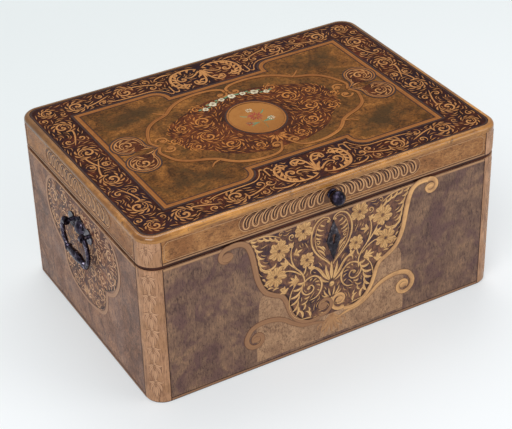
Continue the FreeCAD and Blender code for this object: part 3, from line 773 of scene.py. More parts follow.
def volute(centre: Point, radius: float, start: float, turn: float, half: float,
           tone: float | Sequence[float] = 0.6) -> Ribbons:
    """A flat spiral band that ends in a round eye.

    Args:
        centre: Its eye.
        radius: The radius where it starts.
        start: The start's angle in degrees.
        turn: How many degrees it turns.
        half: Its half width where it starts.
        tone: Its tone, once or along it.

    Returns:
        The band and its eye.
    """
    eye = float(np.atleast_1d(tone)[-1])
    line = spiral(centre, radius, radius * 0.32, start, turn)
    return [band(line, [half, half * 0.8, half * 0.6], tone),
            spot(centre, radius * 0.36, eye, section=Section.TABLE)]


def curl(centre: Point, radius: float, start: float, hand: int, half: float = 0.8,
         tone: float = 0.8) -> Ribbons:
    """A C-scroll: a spiral stroke that swells from a thin start, with a round eye.

    Args:
        centre: Its eye.
        radius: The radius where it starts.
        start: The start's angle in degrees.
        hand: 1 to turn anticlockwise and -1 clockwise.
        half: Its greatest half width.
        tone: Its tone.

    Returns:
        The stroke and its eye.
    """
    turn = 360 * 1.1
    line = spiral(centre, radius, 0.24 * radius, start, turn * hand, 24)
    return [stroke(line, [0.3 * half, half, half, 0.6 * half], tone), spot(centre, 0.20 * radius, tone)]


def scroll(centre: Point, radius: float, start: float, hand: int, leaves: int = 8,
           tone: float = 0.7) -> Ribbons:
    """A foliate scroll: a stem that coils to its eye, with crescent leaves outside it and lobes inside.

    The stem's radius falls by the square of the share travelled, so that it starts almost as a circle.

    Args:
        centre: The scroll's eye.
        radius: The reach of the leaves' tips.
        start: The angle where the stem comes in, in degrees.
        hand: 1 to turn anticlockwise and -1 clockwise.
        leaves: How many leaves wrap the ring.
        tone: The leaves' tone.

    Returns:
        The scroll's ribbons.
    """
    turn, leafed, lobes = 430.0, 310.0, 4
    mouth, fall = 0.68, 0.54
    slim = 0.075 * radius
    share = np.linspace(0, 1, 40)
    angle = np.radians(start + hand * turn * share)
    reach = radius * (mouth - fall * share ** 2)
    line = np.stack([centre[0] + reach * np.cos(angle), centre[1] + reach * np.sin(angle)], axis=1)
    found = [stroke(line, [0.4 * slim, 0.7 * slim, slim, 1.3 * slim, 1.4 * slim, slim], tone + 0.2),
             spot(centre, 0.16 * radius, tone + 0.1)]
    for number in range(leaves):
        turned = leafed * (number + 0.3) / leaves
        degrees = start + hand * turned
        ring = radius * (mouth - fall * (turned / turn) ** 2)
        base = polar(centre, ring + 0.05 * radius, degrees)
        tip = polar(centre, radius * (1 - 0.12 * turned / turn), degrees + 46 * hand)
        found.append(leaf(base, tip, -0.3 * hand, 0.18 * radius, tone, 1.3))
        if 0 < number <= lobes:
            base = polar(centre, ring - 0.04 * radius, degrees)
            tip = polar(centre, ring - 0.24 * radius, degrees + 36 * hand)
            found.append(leaf(base, tip, 0.3 * hand, 0.11 * radius, tone, 1.3))
    return found


def flower(centre: Point, radius: float, petals: int = 6, turn: float = 0, tone: float = 0.9) -> Ribbons:
    """A carnation from above: four rings of overlapping petals, each with one petal fewer than the last.

    Args:
        centre: Its middle.
        radius: Its reach.
        petals: How many petals the outer ring has, less two.
        turn: The first petal's angle in degrees.
        tone: The outer petals' tone.

    Returns:
        The petals.
    """
    found: Ribbons = []
    for ring, (reach, shade) in enumerate(((1.0, tone), (0.74, tone - 0.25), (0.5, tone), (0.3, tone - 0.2))):
        count = petals + 2 - ring
        width = 2.0 * reach * radius * math.sin(math.pi / count)
        for number in range(count):
            degrees = turn + 360 * (number + ring / 2) / count
            longer = reach * (1.04 if number % 2 else 0.94)
            base, tip = polar(centre, 0.05 * radius, degrees), polar(centre, longer * radius, degrees)
            found.append(leaf(base, tip, 0.14 * (-1) ** number, width, shade, 2.4))
    return found


def fan(centre: Point, radius: float, count: int, spread: float, heading: float, width: float,
        tone: float = 0.75, curve: float = 0.22, near: float = 0.16) -> Ribbons:
    """A palmette: leaves fanned about a heading, the middle one longest, curling outwards.

    Args:
        centre: Where the leaves meet.
        radius: The middle leaf's reach.
        count: How many leaves.
        spread: The angle between the outermost two, in degrees.
        heading: The middle leaf's direction, in degrees.
        width: A leaf's width.
        tone: Their tone.
        curve: How far the outermost leaves bend.
        near: Where the leaves start, as a share of the radius.

    Returns:
        The leaves.
    """
    found: Ribbons = []
    for number in range(count):
        side = 2 * number / max(count - 1, 1) - 1
        degrees = heading + side * spread / 2
        tip = polar(centre, radius * (1 - 0.3 * side ** 2), degrees + 10 * side)
        found.append(leaf(polar(centre, near * radius, degrees), tip, -curve * side, width, tone, 1.4))
    return found


def fringe(line: Line, length: float, width: float, count: int, turn: float, tone: float = 0.75,
           bend: float = 0.3) -> Ribbons:
    """Leaves that peel off one side of a line, all at one angle to it, the middle ones longest.

    Args:
        line: The line that they grow from.
        length: The middle leaves' length.
        width: A leaf's width.
        count: How many leaves.
        turn: The angle from the line's direction to the leaf, in degrees, positive to the left.
        tone: Their tone.
        bend: How far they bend.

    Returns:
        The leaves.
    """
    found: Ribbons = []
    for number, place in enumerate(np.linspace(0, len(line) - 2, count).astype(int)):
        step = line[place + 1] - line[place]
        degrees = math.degrees(math.atan2(step[1], step[0])) + turn
        reach = length * (0.6 + 0.4 * math.sin(math.pi * (number + 0.5) / count))
        found.append(leaf(tuple(line[place]), polar(tuple(line[place]), reach, degrees), bend, width, tone))
    return found


def within(points: Line, outline: Sequence[Point] | Line) -> np.ndarray:
    """Whether points lie in a closed outline, where a line to the right crosses it an odd number of times.

    Args:
        points: The points.
        outline: The outline's corners.

    Returns:
        True or False for each point.
    """
    start = np.asarray(outline, float)
    end = np.roll(start, -1, axis=0)
    x, y = points[:, :1], points[:, 1:]
    spans = (start[:, 1] > y) != (end[:, 1] > y)
    rise = end[:, 1] - start[:, 1]
    rise = np.where(np.abs(rise) < TINY, TINY, rise)
    crossing = start[:, 0] + (y - start[:, 1]) * (end[:, 0] - start[:, 0]) / rise
    return (spans & (x < crossing)).sum(1) % 2 == 1


@dataclass(frozen=True)
class Filling:
    """Short curved strokes that fill the bare ground between ribbons, each along its nearest neighbour."""

    gap: float = 0.9
    half: float = 0.7
    reach: float = 10.0
    shortest: float = 5.0
    pitch: float = 2.2
    swing: float = 9.0
    tone: float = 0.7
    seed: int = 7

    def fill(self, ribbons: Ribbons, outline: Sequence[Point] | Line, holes: Sequence[Line] = ()) -> Ribbons:
        """Grows strokes one by one from a shaken grid, and keeps those that find room.

        Args:
            ribbons: The ribbons already there.
            outline: The ground's outline.
            holes: Outlines within it that stay bare.

        Returns:
            The strokes.
        """
        random = np.random.default_rng(self.seed)
        corners = np.asarray(outline, float)
        low, high = corners.min(0), corners.max(0)
        steps = [np.arange(low[axis], high[axis], self.pitch) for axis in (0, 1)]
        grid = np.stack(np.meshgrid(*steps), axis=-1)
        seeds = grid.reshape(-1, 2) + random.uniform(-0.5, 0.5, (grid.size // 2, 2)) * self.pitch
        inside = within(seeds, corners)
        for hole in holes:
            inside &= ~within(seeds, hole)
        seeds = random.permutation(seeds[inside])
        fences = [band(np.vstack([fence, fence[:1]]), 0.2) for fence in [corners, *holes]]
        known = [self._steps(ribbon) for ribbon in [*ribbons, *fences]]
        places, ways, halves = (np.concatenate(part) for part in zip(*known))
        found: Ribbons = []
        for shortest in (self.reach - 1, 0.6 * self.reach, self.shortest):
            for seed in seeds:
                line = self._grow(seed, places, ways, halves, found)
                if len(line) < shortest:
                    continue
                tone = self.tone + random.uniform(-0.2, 0.2)
                made = stroke(line, [0.25, self.half, 0.8 * self.half, 0.12], tone)
                found.append(made)
                more = self._steps(made)
                places, ways = np.vstack([places, more[0]]), np.vstack([ways, more[1]])
                halves = np.concatenate([halves, more[2]])
        return found

    def _grow(self, seed: np.ndarray, places: Line, ways: Line, halves: np.ndarray, found: Ribbons) -> Line:
        """Walks from a seed along the direction of the nearest ribbon, while there is room.

        Args:
            seed: Where the stroke starts.
            places: Points on the ribbons.
            ways: The ribbons' directions there.
            halves: Their half widths there.
            found: The strokes kept so far, whose number gives the swing's side.

        Returns:
            The stroke's points, a millimetre apart.
        """
        line, heading = [seed], None
        room = self.gap + self.half
        turn = math.radians(self.swing) * (1 if len(found) % 2 else -1)
        while len(line) <= self.reach:
            away = np.hypot(*(places - line[-1]).T) - halves
            near = int(np.argmin(away))
            if away[near] < room:
                return np.array(line[:-1])
            way = ways[near] if heading is None or ways[near] @ heading > 0 else -ways[near]
            heading = way if heading is None else way + heading
            heading = heading / max(float(np.hypot(*heading)), TINY)
            heading = np.array([heading[0] * math.cos(turn) - heading[1] * math.sin(turn),
                                heading[0] * math.sin(turn) + heading[1] * math.cos(turn)])
            line.append(line[-1] + heading)
        return np.array(line)

    @staticmethod
    def _steps(ribbon: Ribbon) -> tuple[Line, Line, np.ndarray]:
        """A ribbon's points about a millimetre apart, with its directions and half widths there.

        Args:
            ribbon: The ribbon.

        Returns:
            The points, the directions and the half widths.
        """
        length = np.hypot(*np.diff(ribbon.line, axis=0).T).sum()
        count = max(3, int(length) + 1)
        line = even(ribbon.line, count)
        return line, unit(np.gradient(line, axis=0)), along(ribbon.half, count)


def gadroon(right: float, up: float, height: float) -> Ribbons:
    """One flute of a frieze: a leaning loop, open at its top, round an inner drop.

    Args:
        right: The flute's place across the sheet.
        up: Its place up the sheet.
        height: Its height.

    Returns:
        The flute's two strokes.
    """
    def placed(points: Sequence[Point]) -> list[Point]:
        """Shares of the height as places on the sheet."""
        return [(right + x * height, up + y * height) for x, y in points]

    loop = [(-0.42, 0.50), (-0.12, 0.42), (0.12, 0.16), (0.21, -0.16), (0.15, -0.40), (-0.02, -0.49),
            (-0.18, -0.38), (-0.22, -0.12), (-0.34, 0.14), (-0.50, 0.30)]
    drop = [(-0.28, 0.34), (-0.08, 0.14), (0.0, -0.10), (-0.02, -0.30)]
    loop_halves = [share * height for share in (0.02, 0.06, 0.065, 0.06, 0.03)]
    drop_halves = [share * height for share in (0.02, 0.06, 0.075, 0.03)]
    return [stroke(placed(loop), loop_halves, 0.9), stroke(placed(drop), drop_halves, 0.6)]


# Faces of the casket that a sheet is laid on

@dataclass(frozen=True)
class Flat:
    """A plane face: its origin, and the sheet's rightward and upward directions."""

    origin: tuple[float, float, float]
    right: tuple[float, float, float]
    up: tuple[float, float, float]

    def lay(self, sheet: Line, lift: np.ndarray) -> np.ndarray:
        """Sheet points and their heights above the face, as points in metres.

        Args:
            sheet: Points on the sheet, in millimetres.
            lift: Each point's height above the face.

        Returns:
            The points in the frame.
        """
        right, up = np.array(self.right, float), np.array(self.up, float)
        flat = sheet[:, :1] * right + sheet[:, 1:2] * up + lift[:, None] * np.cross(right, up)
        return MM * (np.array(self.origin, float) + flat)


@dataclass(frozen=True)
class Round:
    """A quarter-round upright corner: its axis, its radius and the angle of its middle in degrees."""

    x: float
    y: float
    radius: float
    middle: float

    def lay(self, sheet: Line, lift: np.ndarray) -> np.ndarray:
        """Sheet points wrapped round the corner, and their heights outwards, as points in metres.

        Args:
            sheet: Points on the sheet, in millimetres.
            lift: Each point's height above the corner.

        Returns:
            The points in the frame.
        """
        angle = math.radians(self.middle) + sheet[:, 0] / self.radius
        reach = self.radius + lift
        x, y = self.x + reach * np.cos(angle), self.y + reach * np.sin(angle)
        return MM * np.stack([x, y, sheet[:, 1]], axis=1)


class Layer:
    """Ribbons of one finish on one face, gathered into one mesh.

    Each ribbon lies a hair above the one before it, from the lowest again after HAIRS of them, so that
    pieces that cross seldom share a plane. A ridge slimmer than its full half width is lower in
    proportion, down to a least share of its height.
    """

    HAIR = 0.012
    HAIRS = 6
    FULL_HALF = 0.5
    LEAST_SHARE = 0.15

    def __init__(self, surface: Flat | Round, low: float, high: float) -> None:
        """Starts an empty layer.

        Args:
            surface: The face.
            low: The height of its edges above the face, in millimetres.
            high: The height of its top.
        """
        self.surface, self.low, self.high = surface, low, high
        self.points: list[np.ndarray] = []
        self.strips: list[np.ndarray] = []
        self.tones: list[np.ndarray] = []
        self.faces: list[Sequence[int]] = []
        self.count = 0
        self.laid = 0

    def add(self, ribbons: Iterable[Ribbon]) -> "Layer":
        """Adds ribbons to the layer.

        Args:
            ribbons: The ribbons.

        Returns:
            The layer itself.
        """
        for ribbon in ribbons:
            self._lay(ribbon)
        return self

    def _lay(self, ribbon: Ribbon) -> None:
        """Carries a ribbon's section along its line, mitred where it turns, and closes its ends.

        Args:
            ribbon: The ribbon.
        """
        section = np.array(ribbon.section.value)
        line, rings, sides = ribbon.line, len(ribbon.line), len(section)
        offset = ribbon.half[:, None] * section[:, 0]
        sheet = line[:, None, :] + offset[:, :, None] * self._square(ribbon)[:, None, :]
        least = self.LEAST_SHARE if ribbon.section is Section.RIDGE else 1
        slim = np.clip(ribbon.half / self.FULL_HALF, least, 1)[:, None]
        top = self.high + self.HAIR * (self.laid % self.HAIRS)
        lift = self.low + (top - self.low) * section[:, 1] * slim
        self.points.append(self.surface.lay(sheet.reshape(-1, 2), lift.reshape(-1)))
        travelled = np.concatenate([[0.0], np.cumsum(np.hypot(*np.diff(line, axis=0).T))])
        self.strips.append(np.stack([np.repeat(travelled, sides), np.tile(section[:, 0], rings)], axis=1))
        tones = np.broadcast_to(ribbon.tone, rings)[:, None] * np.ones(sides)
        if ribbon.section is Section.FIELD:
            tones = tones * np.sin(np.linspace(0, math.pi, rings))[:, None] * (1 - section[:, 0] ** 2)
        self.tones.append(tones.ravel())
        ring = np.arange(rings if ribbon.closed else rings - 1)[:, None]
        side = np.arange(sides)
        after, beside = (ring + 1) % rings, (side + 1) % sides
        quads = np.stack(np.broadcast_arrays(ring * sides + side, ring * sides + beside,
                                             after * sides + beside, after * sides + side), axis=-1)
        self.faces += (quads.reshape(-1, 4) + self.count).tolist()
        if not ribbon.closed:
            last = self.count + (rings - 1) * sides
            self.faces.append(tuple(range(self.count + sides - 1, self.count - 1, -1)))
            self.faces.append(tuple(range(last, last + sides)))
        self.count += rings * sides
        self.laid += 1

    @staticmethod
    def _square(ribbon: Ribbon) -> Line:
        """The direction across a ribbon at each point: to the right of travel, longer at a mitre.

        Args:
            ribbon: The ribbon.

        Returns:
            One direction for each point of its line.
        """
        if ribbon.across:
            return np.broadcast_to(-np.array(ribbon.across), ribbon.line.shape)
        line = ribbon.line
        if ribbon.closed:
            ahead, behind = np.roll(line, -1, 0) - line, line - np.roll(line, 1, 0)
        else:
            step = np.diff(line, axis=0)
            ahead, behind = np.vstack([step, step[-1:]]), np.vstack([step[:1], step])
        ahead = unit(ahead)
        mean = unit(ahead + unit(behind))
        mitre = 1 / np.clip((mean * ahead).sum(1), 0.5, 1)
        return np.stack([mean[:, 1], -mean[:, 0]], axis=1) * mitre[:, None]

    def build(self, name: str, material: bpy.types.Material, body: str, slot: str) -> None:
        """Makes the mesh object, dresses it and lets it ride on its body.

        Args:
            name: The piece's name.
            material: Its finish.
            body: The body that it moves with.
            slot: A material slot's name, which is not used.
        """
        mesh = bpy.data.meshes.new(name)
        mesh.from_pydata(np.concatenate(self.points).tolist(), [], self.faces)
        corners = np.zeros(len(mesh.loops), int)
        mesh.loops.foreach_get("vertex_index", corners)
        strip = mesh.uv_layers.new(name="strip")
        strip.data.foreach_set("uv", np.concatenate(self.strips)[corners].astype(np.float32).ravel())
        tone = mesh.attributes.new("tone", "FLOAT", "POINT")
        tone.data.foreach_set("value", np.concatenate(self.tones).astype(np.float32))
        mesh.materials.append(material)
        piece = bpy.data.objects.new(name, mesh)
        bpy.context.scene.collection.objects.link(piece)
        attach(piece, body)
        log.info("%s: %d faces", name, len(self.faces))


@dataclass(frozen=True)
class Bench:
    """A face of one body, on which sheets in the casket's finishes are laid."""

    palette: Palette
    surface: Flat | Round
    body: str

    def lay(self, name: str, tone: Tone, ribbons: Iterable[Ribbon], top: float, foot: float = -0.05) -> None:
        """Lays ribbons of one finish as one piece.

        Args:
            name: The piece's name.
            tone: Its finish.
            ribbons: Its ribbons.
            top: The height of their tops above the face, in millimetres.
            foot: The height of their edges, which is below the face where they are let in.
        """
        slot = SLOTS.get(tone, "pale_moulding")
        Layer(self.surface, foot, top).add(ribbons).build(name, self.palette(tone), self.body, slot)


# Sizes read from the frame

@dataclass(frozen=True)
class Sizes:
    """The casket's main faces in millimetres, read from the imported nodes."""

    front: float
    side: float
    post: float
    body_low: float
    body_high: float
    lid_low: float
    lid_high: float
    table: float
    border: Point
    panel: Point

    @classmethod
    def from_frame(cls) -> "Sizes":
        """Reads each size from the corners of the node that has it.

        Returns:
            The sizes.
        """
        veneer, end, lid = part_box("front_veneer"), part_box("right_veneer"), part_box("lid_front_veneer")
        border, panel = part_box("lid_border_veneer")[1] / MM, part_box("lid_panel_veneer")[1] / MM
        return cls(front=-veneer[0].y / MM, side=end[1].x / MM, post=(end[1].x - veneer[1].x) / MM,
                   body_low=veneer[0].z / MM, body_high=veneer[1].z / MM, lid_low=lid[0].z / MM,
                   lid_high=lid[1].z / MM, table=panel.z, border=(border.x, border.y),
                   panel=(panel.x, panel.y))

    def face(self, side: str) -> Flat:
        """The sheet on one upright face, its origin at mid-face on the floor's level.

        Args:
            side: The face's name.

        Returns:
            The face.
        """
        return {
            "front": Flat((0, -self.front, 0), (1, 0, 0), (0, 0, 1)),
            "back": Flat((0, self.front, 0), (-1, 0, 0), (0, 0, 1)),
            "left": Flat((-self.side, 0, 0), (0, -1, 0), (0, 0, 1)),
            "right": Flat((self.side, 0, 0), (0, 1, 0), (0, 0, 1)),
        }[side]

    def half(self, side: str) -> float:
        """Half the length of one face between its corner posts."""
        return (self.side if side in ("front", "back") else self.front) - self.post

    def top(self) -> Flat:
        """The sheet on the lid's top."""
        return Flat((0, 0, self.table), (1, 0, 0), (0, 1, 0))

    def corner(self, x_sign: int, y_sign: int) -> Round:
        """The sheet round one corner post."""
        middle = math.degrees(math.atan2(y_sign, x_sign))
        return Round(x_sign * (self.side - self.post), y_sign * (self.front - self.post), self.post, middle)


# Sub-assemblies

@dataclass
class Assembly:
    """What every sub-assembly starts from."""

    sizes: Sizes
    palette: Palette

    def bench(self, surface: Flat | Round, body: str) -> Bench:
        """A face of a body, ready for sheets in the casket's finishes."""
        return Bench(self.palette, surface, body)


@dataclass
class Case(Assembly):
    """The case's and the lid's plain parts: finishes on the solids, stringing lines on every face.

    The lid's frame stands off the lid's foot, its head and the corner posts by its three insets.
    """

    foot_band: float = 3.0
    head_band: float = 2.8
    head_drop: float = 1.5
    hair_line: float = 0.8
    frame_insets: tuple[float, float, float] = (3.6, 1.8, 2.2)
    frame_corner: float = 4.0

    def dress(self) -> None:
        """Gives each solid its finish."""
        finishes = {
            Tone.SIDE: ["front_veneer", "back_veneer"],
            Tone.END_SIDE: ["left_veneer", "right_veneer"],
            Tone.LID_SIDE: ["lid_" + side + "_veneer" for side in SIDES],
            Tone.CORNER: [kind + name for kind in ("corner_post_", "lid_corner_") for name, _, _ in CORNERS],
            Tone.TIMBER: [side + "_board" for side in SIDES] + ["lid_" + side + "_rail" for side in SIDES]
            + ["bottom_board", "lid_top_board"],
            Tone.MOULDING: ["lid_moulding"],
            Tone.EBONISED: ["base_strip", "rim_band"],
            Tone.PANEL: ["lid_panel_veneer"],
            Tone.GROUND: ["lid_border_veneer"],
            Tone.PAPER: ["lining_floor", "lining_walls", "lid_lining"],
            Tone.STEEL: ["escutcheon", "escutcheon_pins", "lock_case", "lock_plate", "lock_bolt",
                         "lock_spring", "lock_screws", "link_plate", "link_screws", "hinge_screws_case",
                         "hinge_screws_lid", "hinge_pins"]
            + [kind + end for kind in ("hinge_leaf_case_", "hinge_leaf_lid_") for end in ENDS],
            Tone.KNOB: ["knob"],
            Tone.IRON: ["knob_nut"] + [kind + end for kind in ("bail_", "handle_plate_", "handle_posts_",
                                                               "handle_nuts_") for end in ENDS],
        }
        dressed = 0
        for tone, nodes in finishes.items():
            for node in nodes:
                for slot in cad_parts[node].material_slots:
                    slot.material = self.palette(tone)
                    dressed += 1
        log.info("dressed %d slots on %d solids", dressed, len(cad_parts))

    def level(self, side: str, up: float, half: float, tone: float = 0.6) -> Ribbon:
        """A level line across one face, from post to post."""
        reach = self.sizes.half(side)
        return straight((-reach, up), (reach, up), half, tone)

    def stringing(self) -> None:
        """Pale bands along the foot and the top of each face of the case, and a dark line over the foot's."""
        low, high, foot = self.sizes.body_low, self.sizes.body_high, self.foot_band
        for side in SIDES:
            face = self.bench(self.sizes.face(side), "case")
            lines = [self.level(side, low + foot / 2, foot / 2, 0.0),
                     self.level(side, high - self.head_drop, self.head_band / 2)]
            face.lay("string_" + side, Tone.LINE, lines, top=0.15)
            dark = [self.level(side, low + foot, self.hair_line / 2)]
            face.lay("dark_string_" + side, Tone.DARK_LINE, dark, top=0.18)

    def lid_stringing(self) -> None:
        """The framed field on each face of the lid, and a pale and a dark line along its lower edge."""
        edge, cut = self.sizes.lid_low, self.frame_corner
        foot, head, end = self.frame_insets
        low, high = edge + foot, self.sizes.lid_high - head
        for side in SIDES:
            face, half = self.bench(self.sizes.face(side), "lid"), self.sizes.half(side) - end
            ring = [(half - cut, low), (half, low + cut), (half, high - cut), (half - cut, high)]
            lines = [band(whole(ring), self.hair_line / 2, 0.8, closed=True),
                     self.level(side, edge + 1, 0.9, 0.4)]
            face.lay("lid_string_" + side, Tone.LINE, lines, top=0.10)
            face.lay("lid_dark_string_" + side, Tone.DARK_LINE, [self.level(side, edge + 2.2, 0.3)], top=0.18)


@dataclass
class Frieze(Assembly):
    """Looped flutes on a brown ground with round ends, on a face of the lid, in two mirrored halves."""

    side: str
    half: float
    count: int
    bare_middle: float
    height: float = 19.5
    middle: float = 183.75

    def build(self) -> None:
        """Lays the ground, the dark hollows in the flutes, the flutes and the outline."""
        face, radius = self.bench(self.sizes.face(self.side), "lid"), self.height / 2
        places = -np.cos(np.linspace(0, math.pi, 41)) * self.half
        past = np.clip((np.abs(places) - (self.half - radius)) / radius, 0, 1)
        line = np.stack([places, np.full(len(places), self.middle)], axis=1)
        ground = Ribbon(line, radius * np.sqrt(1 - past ** 2) + 0.02, 0.3, Section.TABLE)
        face.lay("frieze_ground_" + self.side, Tone.FLUTE_GROUND, [ground], top=0.10)
        arc = [polar((self.half - radius, self.middle), radius, 90 - 15 * step) for step in range(13)]
        edge = band(whole(arc), 0.45, 0.8, closed=True)
        pitch = (self.half - self.bare_middle - 3) / self.count
        flutes: Ribbons = []
        for number in range(self.count):
            right = self.bare_middle + (number + 0.5) * pitch
            flutes += gadroon(right, self.middle + 0.6, 0.86 * self.height)
        hollows = [band(flute.line, 2.1 * flute.half) for flute in flutes[1::2]]
        face.lay("frieze_hollows_" + self.side, Tone.DARK_LINE, both_sides(hollows), top=0.12, foot=0.0)
        inlay = both_sides(flutes, 0.9) + [edge]
        face.lay("frieze_" + self.side, Tone.CREAM, inlay, top=0.30, foot=0.05)


@dataclass
class Cartouche(Assembly):
    """A shield of inlay in a strapwork frame on one face of the case.

    The shield and the paler field round it are pairs of a height and its half width, from the top down.
    The tones are those of the field, the shield's ground, the straps and the inlay. The outline is the
    inset and the half width of the dark line within the shield.
    """

    side: str
    shield: tuple[Point, ...]
    field: tuple[Point, ...]
    tones: tuple[Tone, Tone, Tone, Tone]
    outline: Point

    def edge(self) -> list[Point]:
        """The shield's right edge, as places across and up."""
        return [(half, up) for up, half in self.shield]

    def straps(self) -> Ribbons:
        """The frame's bands."""
        raise NotImplementedError

    def inlay(self) -> Ribbons:
        """What fills the shield."""
        raise NotImplementedError

    def build(self) -> None:
        """Lays the field, the ground and its outline, the straps and the inlay."""
        face, side = self.bench(self.sizes.face(self.side), "case"), self.side
        field, ground, strap, gold = self.tones
        face.lay(side + "_field", field, [plot(self.field)], top=0.06)
        face.lay(side + "_ground", ground, [plot(self.shield)], top=0.12)
        outline = inner_line(self.shield, *self.outline)
        face.lay(side + "_outline", Tone.DARK_LINE, outline, top=0.20, foot=0.0)
        face.lay(side + "_straps", strap, self.straps(), top=0.28, foot=0.0)
        face.lay(side + "_inlay", gold, self.inlay(), top=0.36, foot=0.05)


@dataclass
class FrontCartouche(Cartouche):
    """The shield of flowers and scrolls under the lock."""

    side: str = "front"
    shield: tuple[Point, ...] = (
        (162.4, 101), (158, 99), (150, 96), (140, 93.5), (128, 91), (116, 88.5), (106, 86), (97, 81.5),
        (91, 77), (86, 70), (81, 61), (77, 58), (70, 55), (60, 51.5), (52, 48), (45, 42.5), (40, 35),
        (37, 25), (36, 12))
    field: tuple[Point, ...] = ((92, 78), (88, 86), (80, 89), (60, 90), (50, 93), (8, 93))
    tones: tuple[Tone, Tone, Tone, Tone] = (Tone.FIELD, Tone.PATCH, Tone.STRAP, Tone.GOLD)
    outline: Point = (4.2, 1.3)
    side_strap: tuple[Point, ...] = (
        (119, 161.2), (112, 162), (104, 160.6), (98, 156), (94.5, 148), (92, 138), (90, 126), (88, 114),
        (84.5, 103), (78.5, 92.5), (69, 85.5), (60, 80.5), (55, 72), (52, 62), (48, 52), (40, 42),
        (28, 35.5), (15, 36.5))
    arm: tuple[Point, ...] = ((6, 27), (20, 31), (35, 34), (48, 42), (58, 50), (70, 55), (85, 56), (96, 52),
                              (102, 43))
    heart: tuple[Point, ...] = (
        (2.5, 150.5), (2.2, 154), (5, 157.5), (11, 158.8), (17.5, 155.5), (22, 148.5), (24.2, 139),
        (23.6, 130), (20, 120.5), (13.5, 111.5), (7, 105), (1.5, 98.5))
    # Painted shade: the left straps are copies of the right ones, dimmed by this factor, as if the right ones
    # caught a sheen.
    painted_shade_dim: float = 0.15

    def straps(self) -> Ribbons:
        """The frame's bands: sides with curled heads, lower arms with volutes, volutes under the shield.

        Returns:
            The bands, on both sides.
        """
        found = [band(self.arm, [1.4, 2.4, 3.0, 3.4, 3.4], 0.75)]
        found += volute((90.5, 38), 12.4, 27, -430, 3.4, 0.8)
        found.append(band(self.side_strap, [3.4, 3.6, 3.3, 3.1, 2.9, 2.7], [1.0, 0.9, 0.8, 0.9, 0.7]))
        found += volute((121, 151.5), 10.4, 110, -350, 3.2, 0.95)
        found.append(spot((120.4, 151), 6.4, 0.9, section=Section.TABLE))
        found += volute((9.4, 50), 12.2, -62, -430, 2.6, 0.8)
        return both_sides(found, self.painted_shade_dim)

    def lyre(self) -> Ribbons:
        """The heart of C-scrolls that stands round the escutcheon, with curled leaves inside it.

        Returns:
            The heart's ribbons.
        """
        inner = smooth(self.heart) * np.array([0.80, 0.92]) + np.array([0.4, 9.6])
        found = [stroke(self.heart, [0.7, 1.1, 1.3, 1.2, 0.9], 1.0), stroke(inner, [0.3, 0.6, 0.6, 0.4], 0.8),
                 spot((3.8, 152.5), 2.0, 1.0)] + curl((16, 130), 3.4, 0, 1, 0.7, 0.9)
        for base, tip, bend in (((14, 152.5), (7.5, 148), 0.3), ((18, 149), (8.5, 143), 0.3),
                                ((19.5, 144), (10, 137.5), 0.3), ((19.5, 138), (12, 134), 0.3),
                                ((19, 128), (8, 115), -0.2), ((17.5, 122), (7.5, 110), -0.2),
                                ((13, 125), (7.5, 118), -0.2)):
            found.append(leaf(base, tip, bend, 2.6, 0.9))
        return both_sides(found)

    def heart_outline(self) -> Line:
        """The heart's outline, closed down the middle, which keeps the filling out."""
        return np.vstack([smooth(self.heart), [[-1.0, 96.0], [-1.0, 150.0]]])

    def flowers(self) -> Ribbons:
        """Carnations on long curved stems with hooked leaves, on one side and mirrored.

        Returns:
            The stems, leaves and petals.
        """
        stems = ([(33, 82), (33, 93), (37, 102), (43.5, 110), (47.5, 120), (48, 131), (45, 142)],
                 [(36, 98), (44, 105), (52, 109), (58, 109)], [(43, 109), (50, 117), (56, 127)],
                 [(34, 97), (31.5, 102), (30.5, 108)])
        found = [stroke(stem, [0.9, 1.2, 1.0, 0.6], 1.0) for stem in stems]
        found += curl((47, 149), 4.6, 250, 1, 0.9, 0.95)
        for base, size, count, spread, heading in (((37, 92), 16, 5, 76, 10), ((55, 80), 13, 4, 70, 70),
                                                   ((49, 117), 14, 4, 64, 12), ((47, 126), 13, 3, 60, 165),
                                                   ((26, 99), 10, 3, 60, 110), ((44, 141), 10, 3, 60, 330)):
            found += fan(base, size, count, spread, heading, 3.8, 0.95, 0.45, 0.08)
        top = smooth([(60, 152.5), (70, 158), (82, 161), (96, 161.5)])
        side = smooth([(93, 157), (88.5, 148), (86, 137), (84, 126), (80, 119.5), (72, 119)])
        found += [stroke(line, [0.5, 1.1, 0.8], 0.95) for line in (top, side)]
        found += curl((59.5, 156.5), 3.6, 180, -1)
        found += fringe(top, 13, 3.6, 6, -160, 0.95, 0.5) + fringe(side, 14, 3.8, 7, -34, 0.95, 0.5)
        found += fringe(smooth([(83, 110), (80, 98), (72, 91.5), (61, 87.5)]), 9, 3.0, 5, -30, 0.9, -0.3)
        for centre, radius, petals in (((33.5, 151), 11.5, 7), ((62, 137), 12.5, 8), ((66.5, 107), 13, 8),
                                       ((29.5, 114.5), 9.5, 7)):
            found += flower(centre, radius, petals, 20, 0.8)
        return both_sides(found)

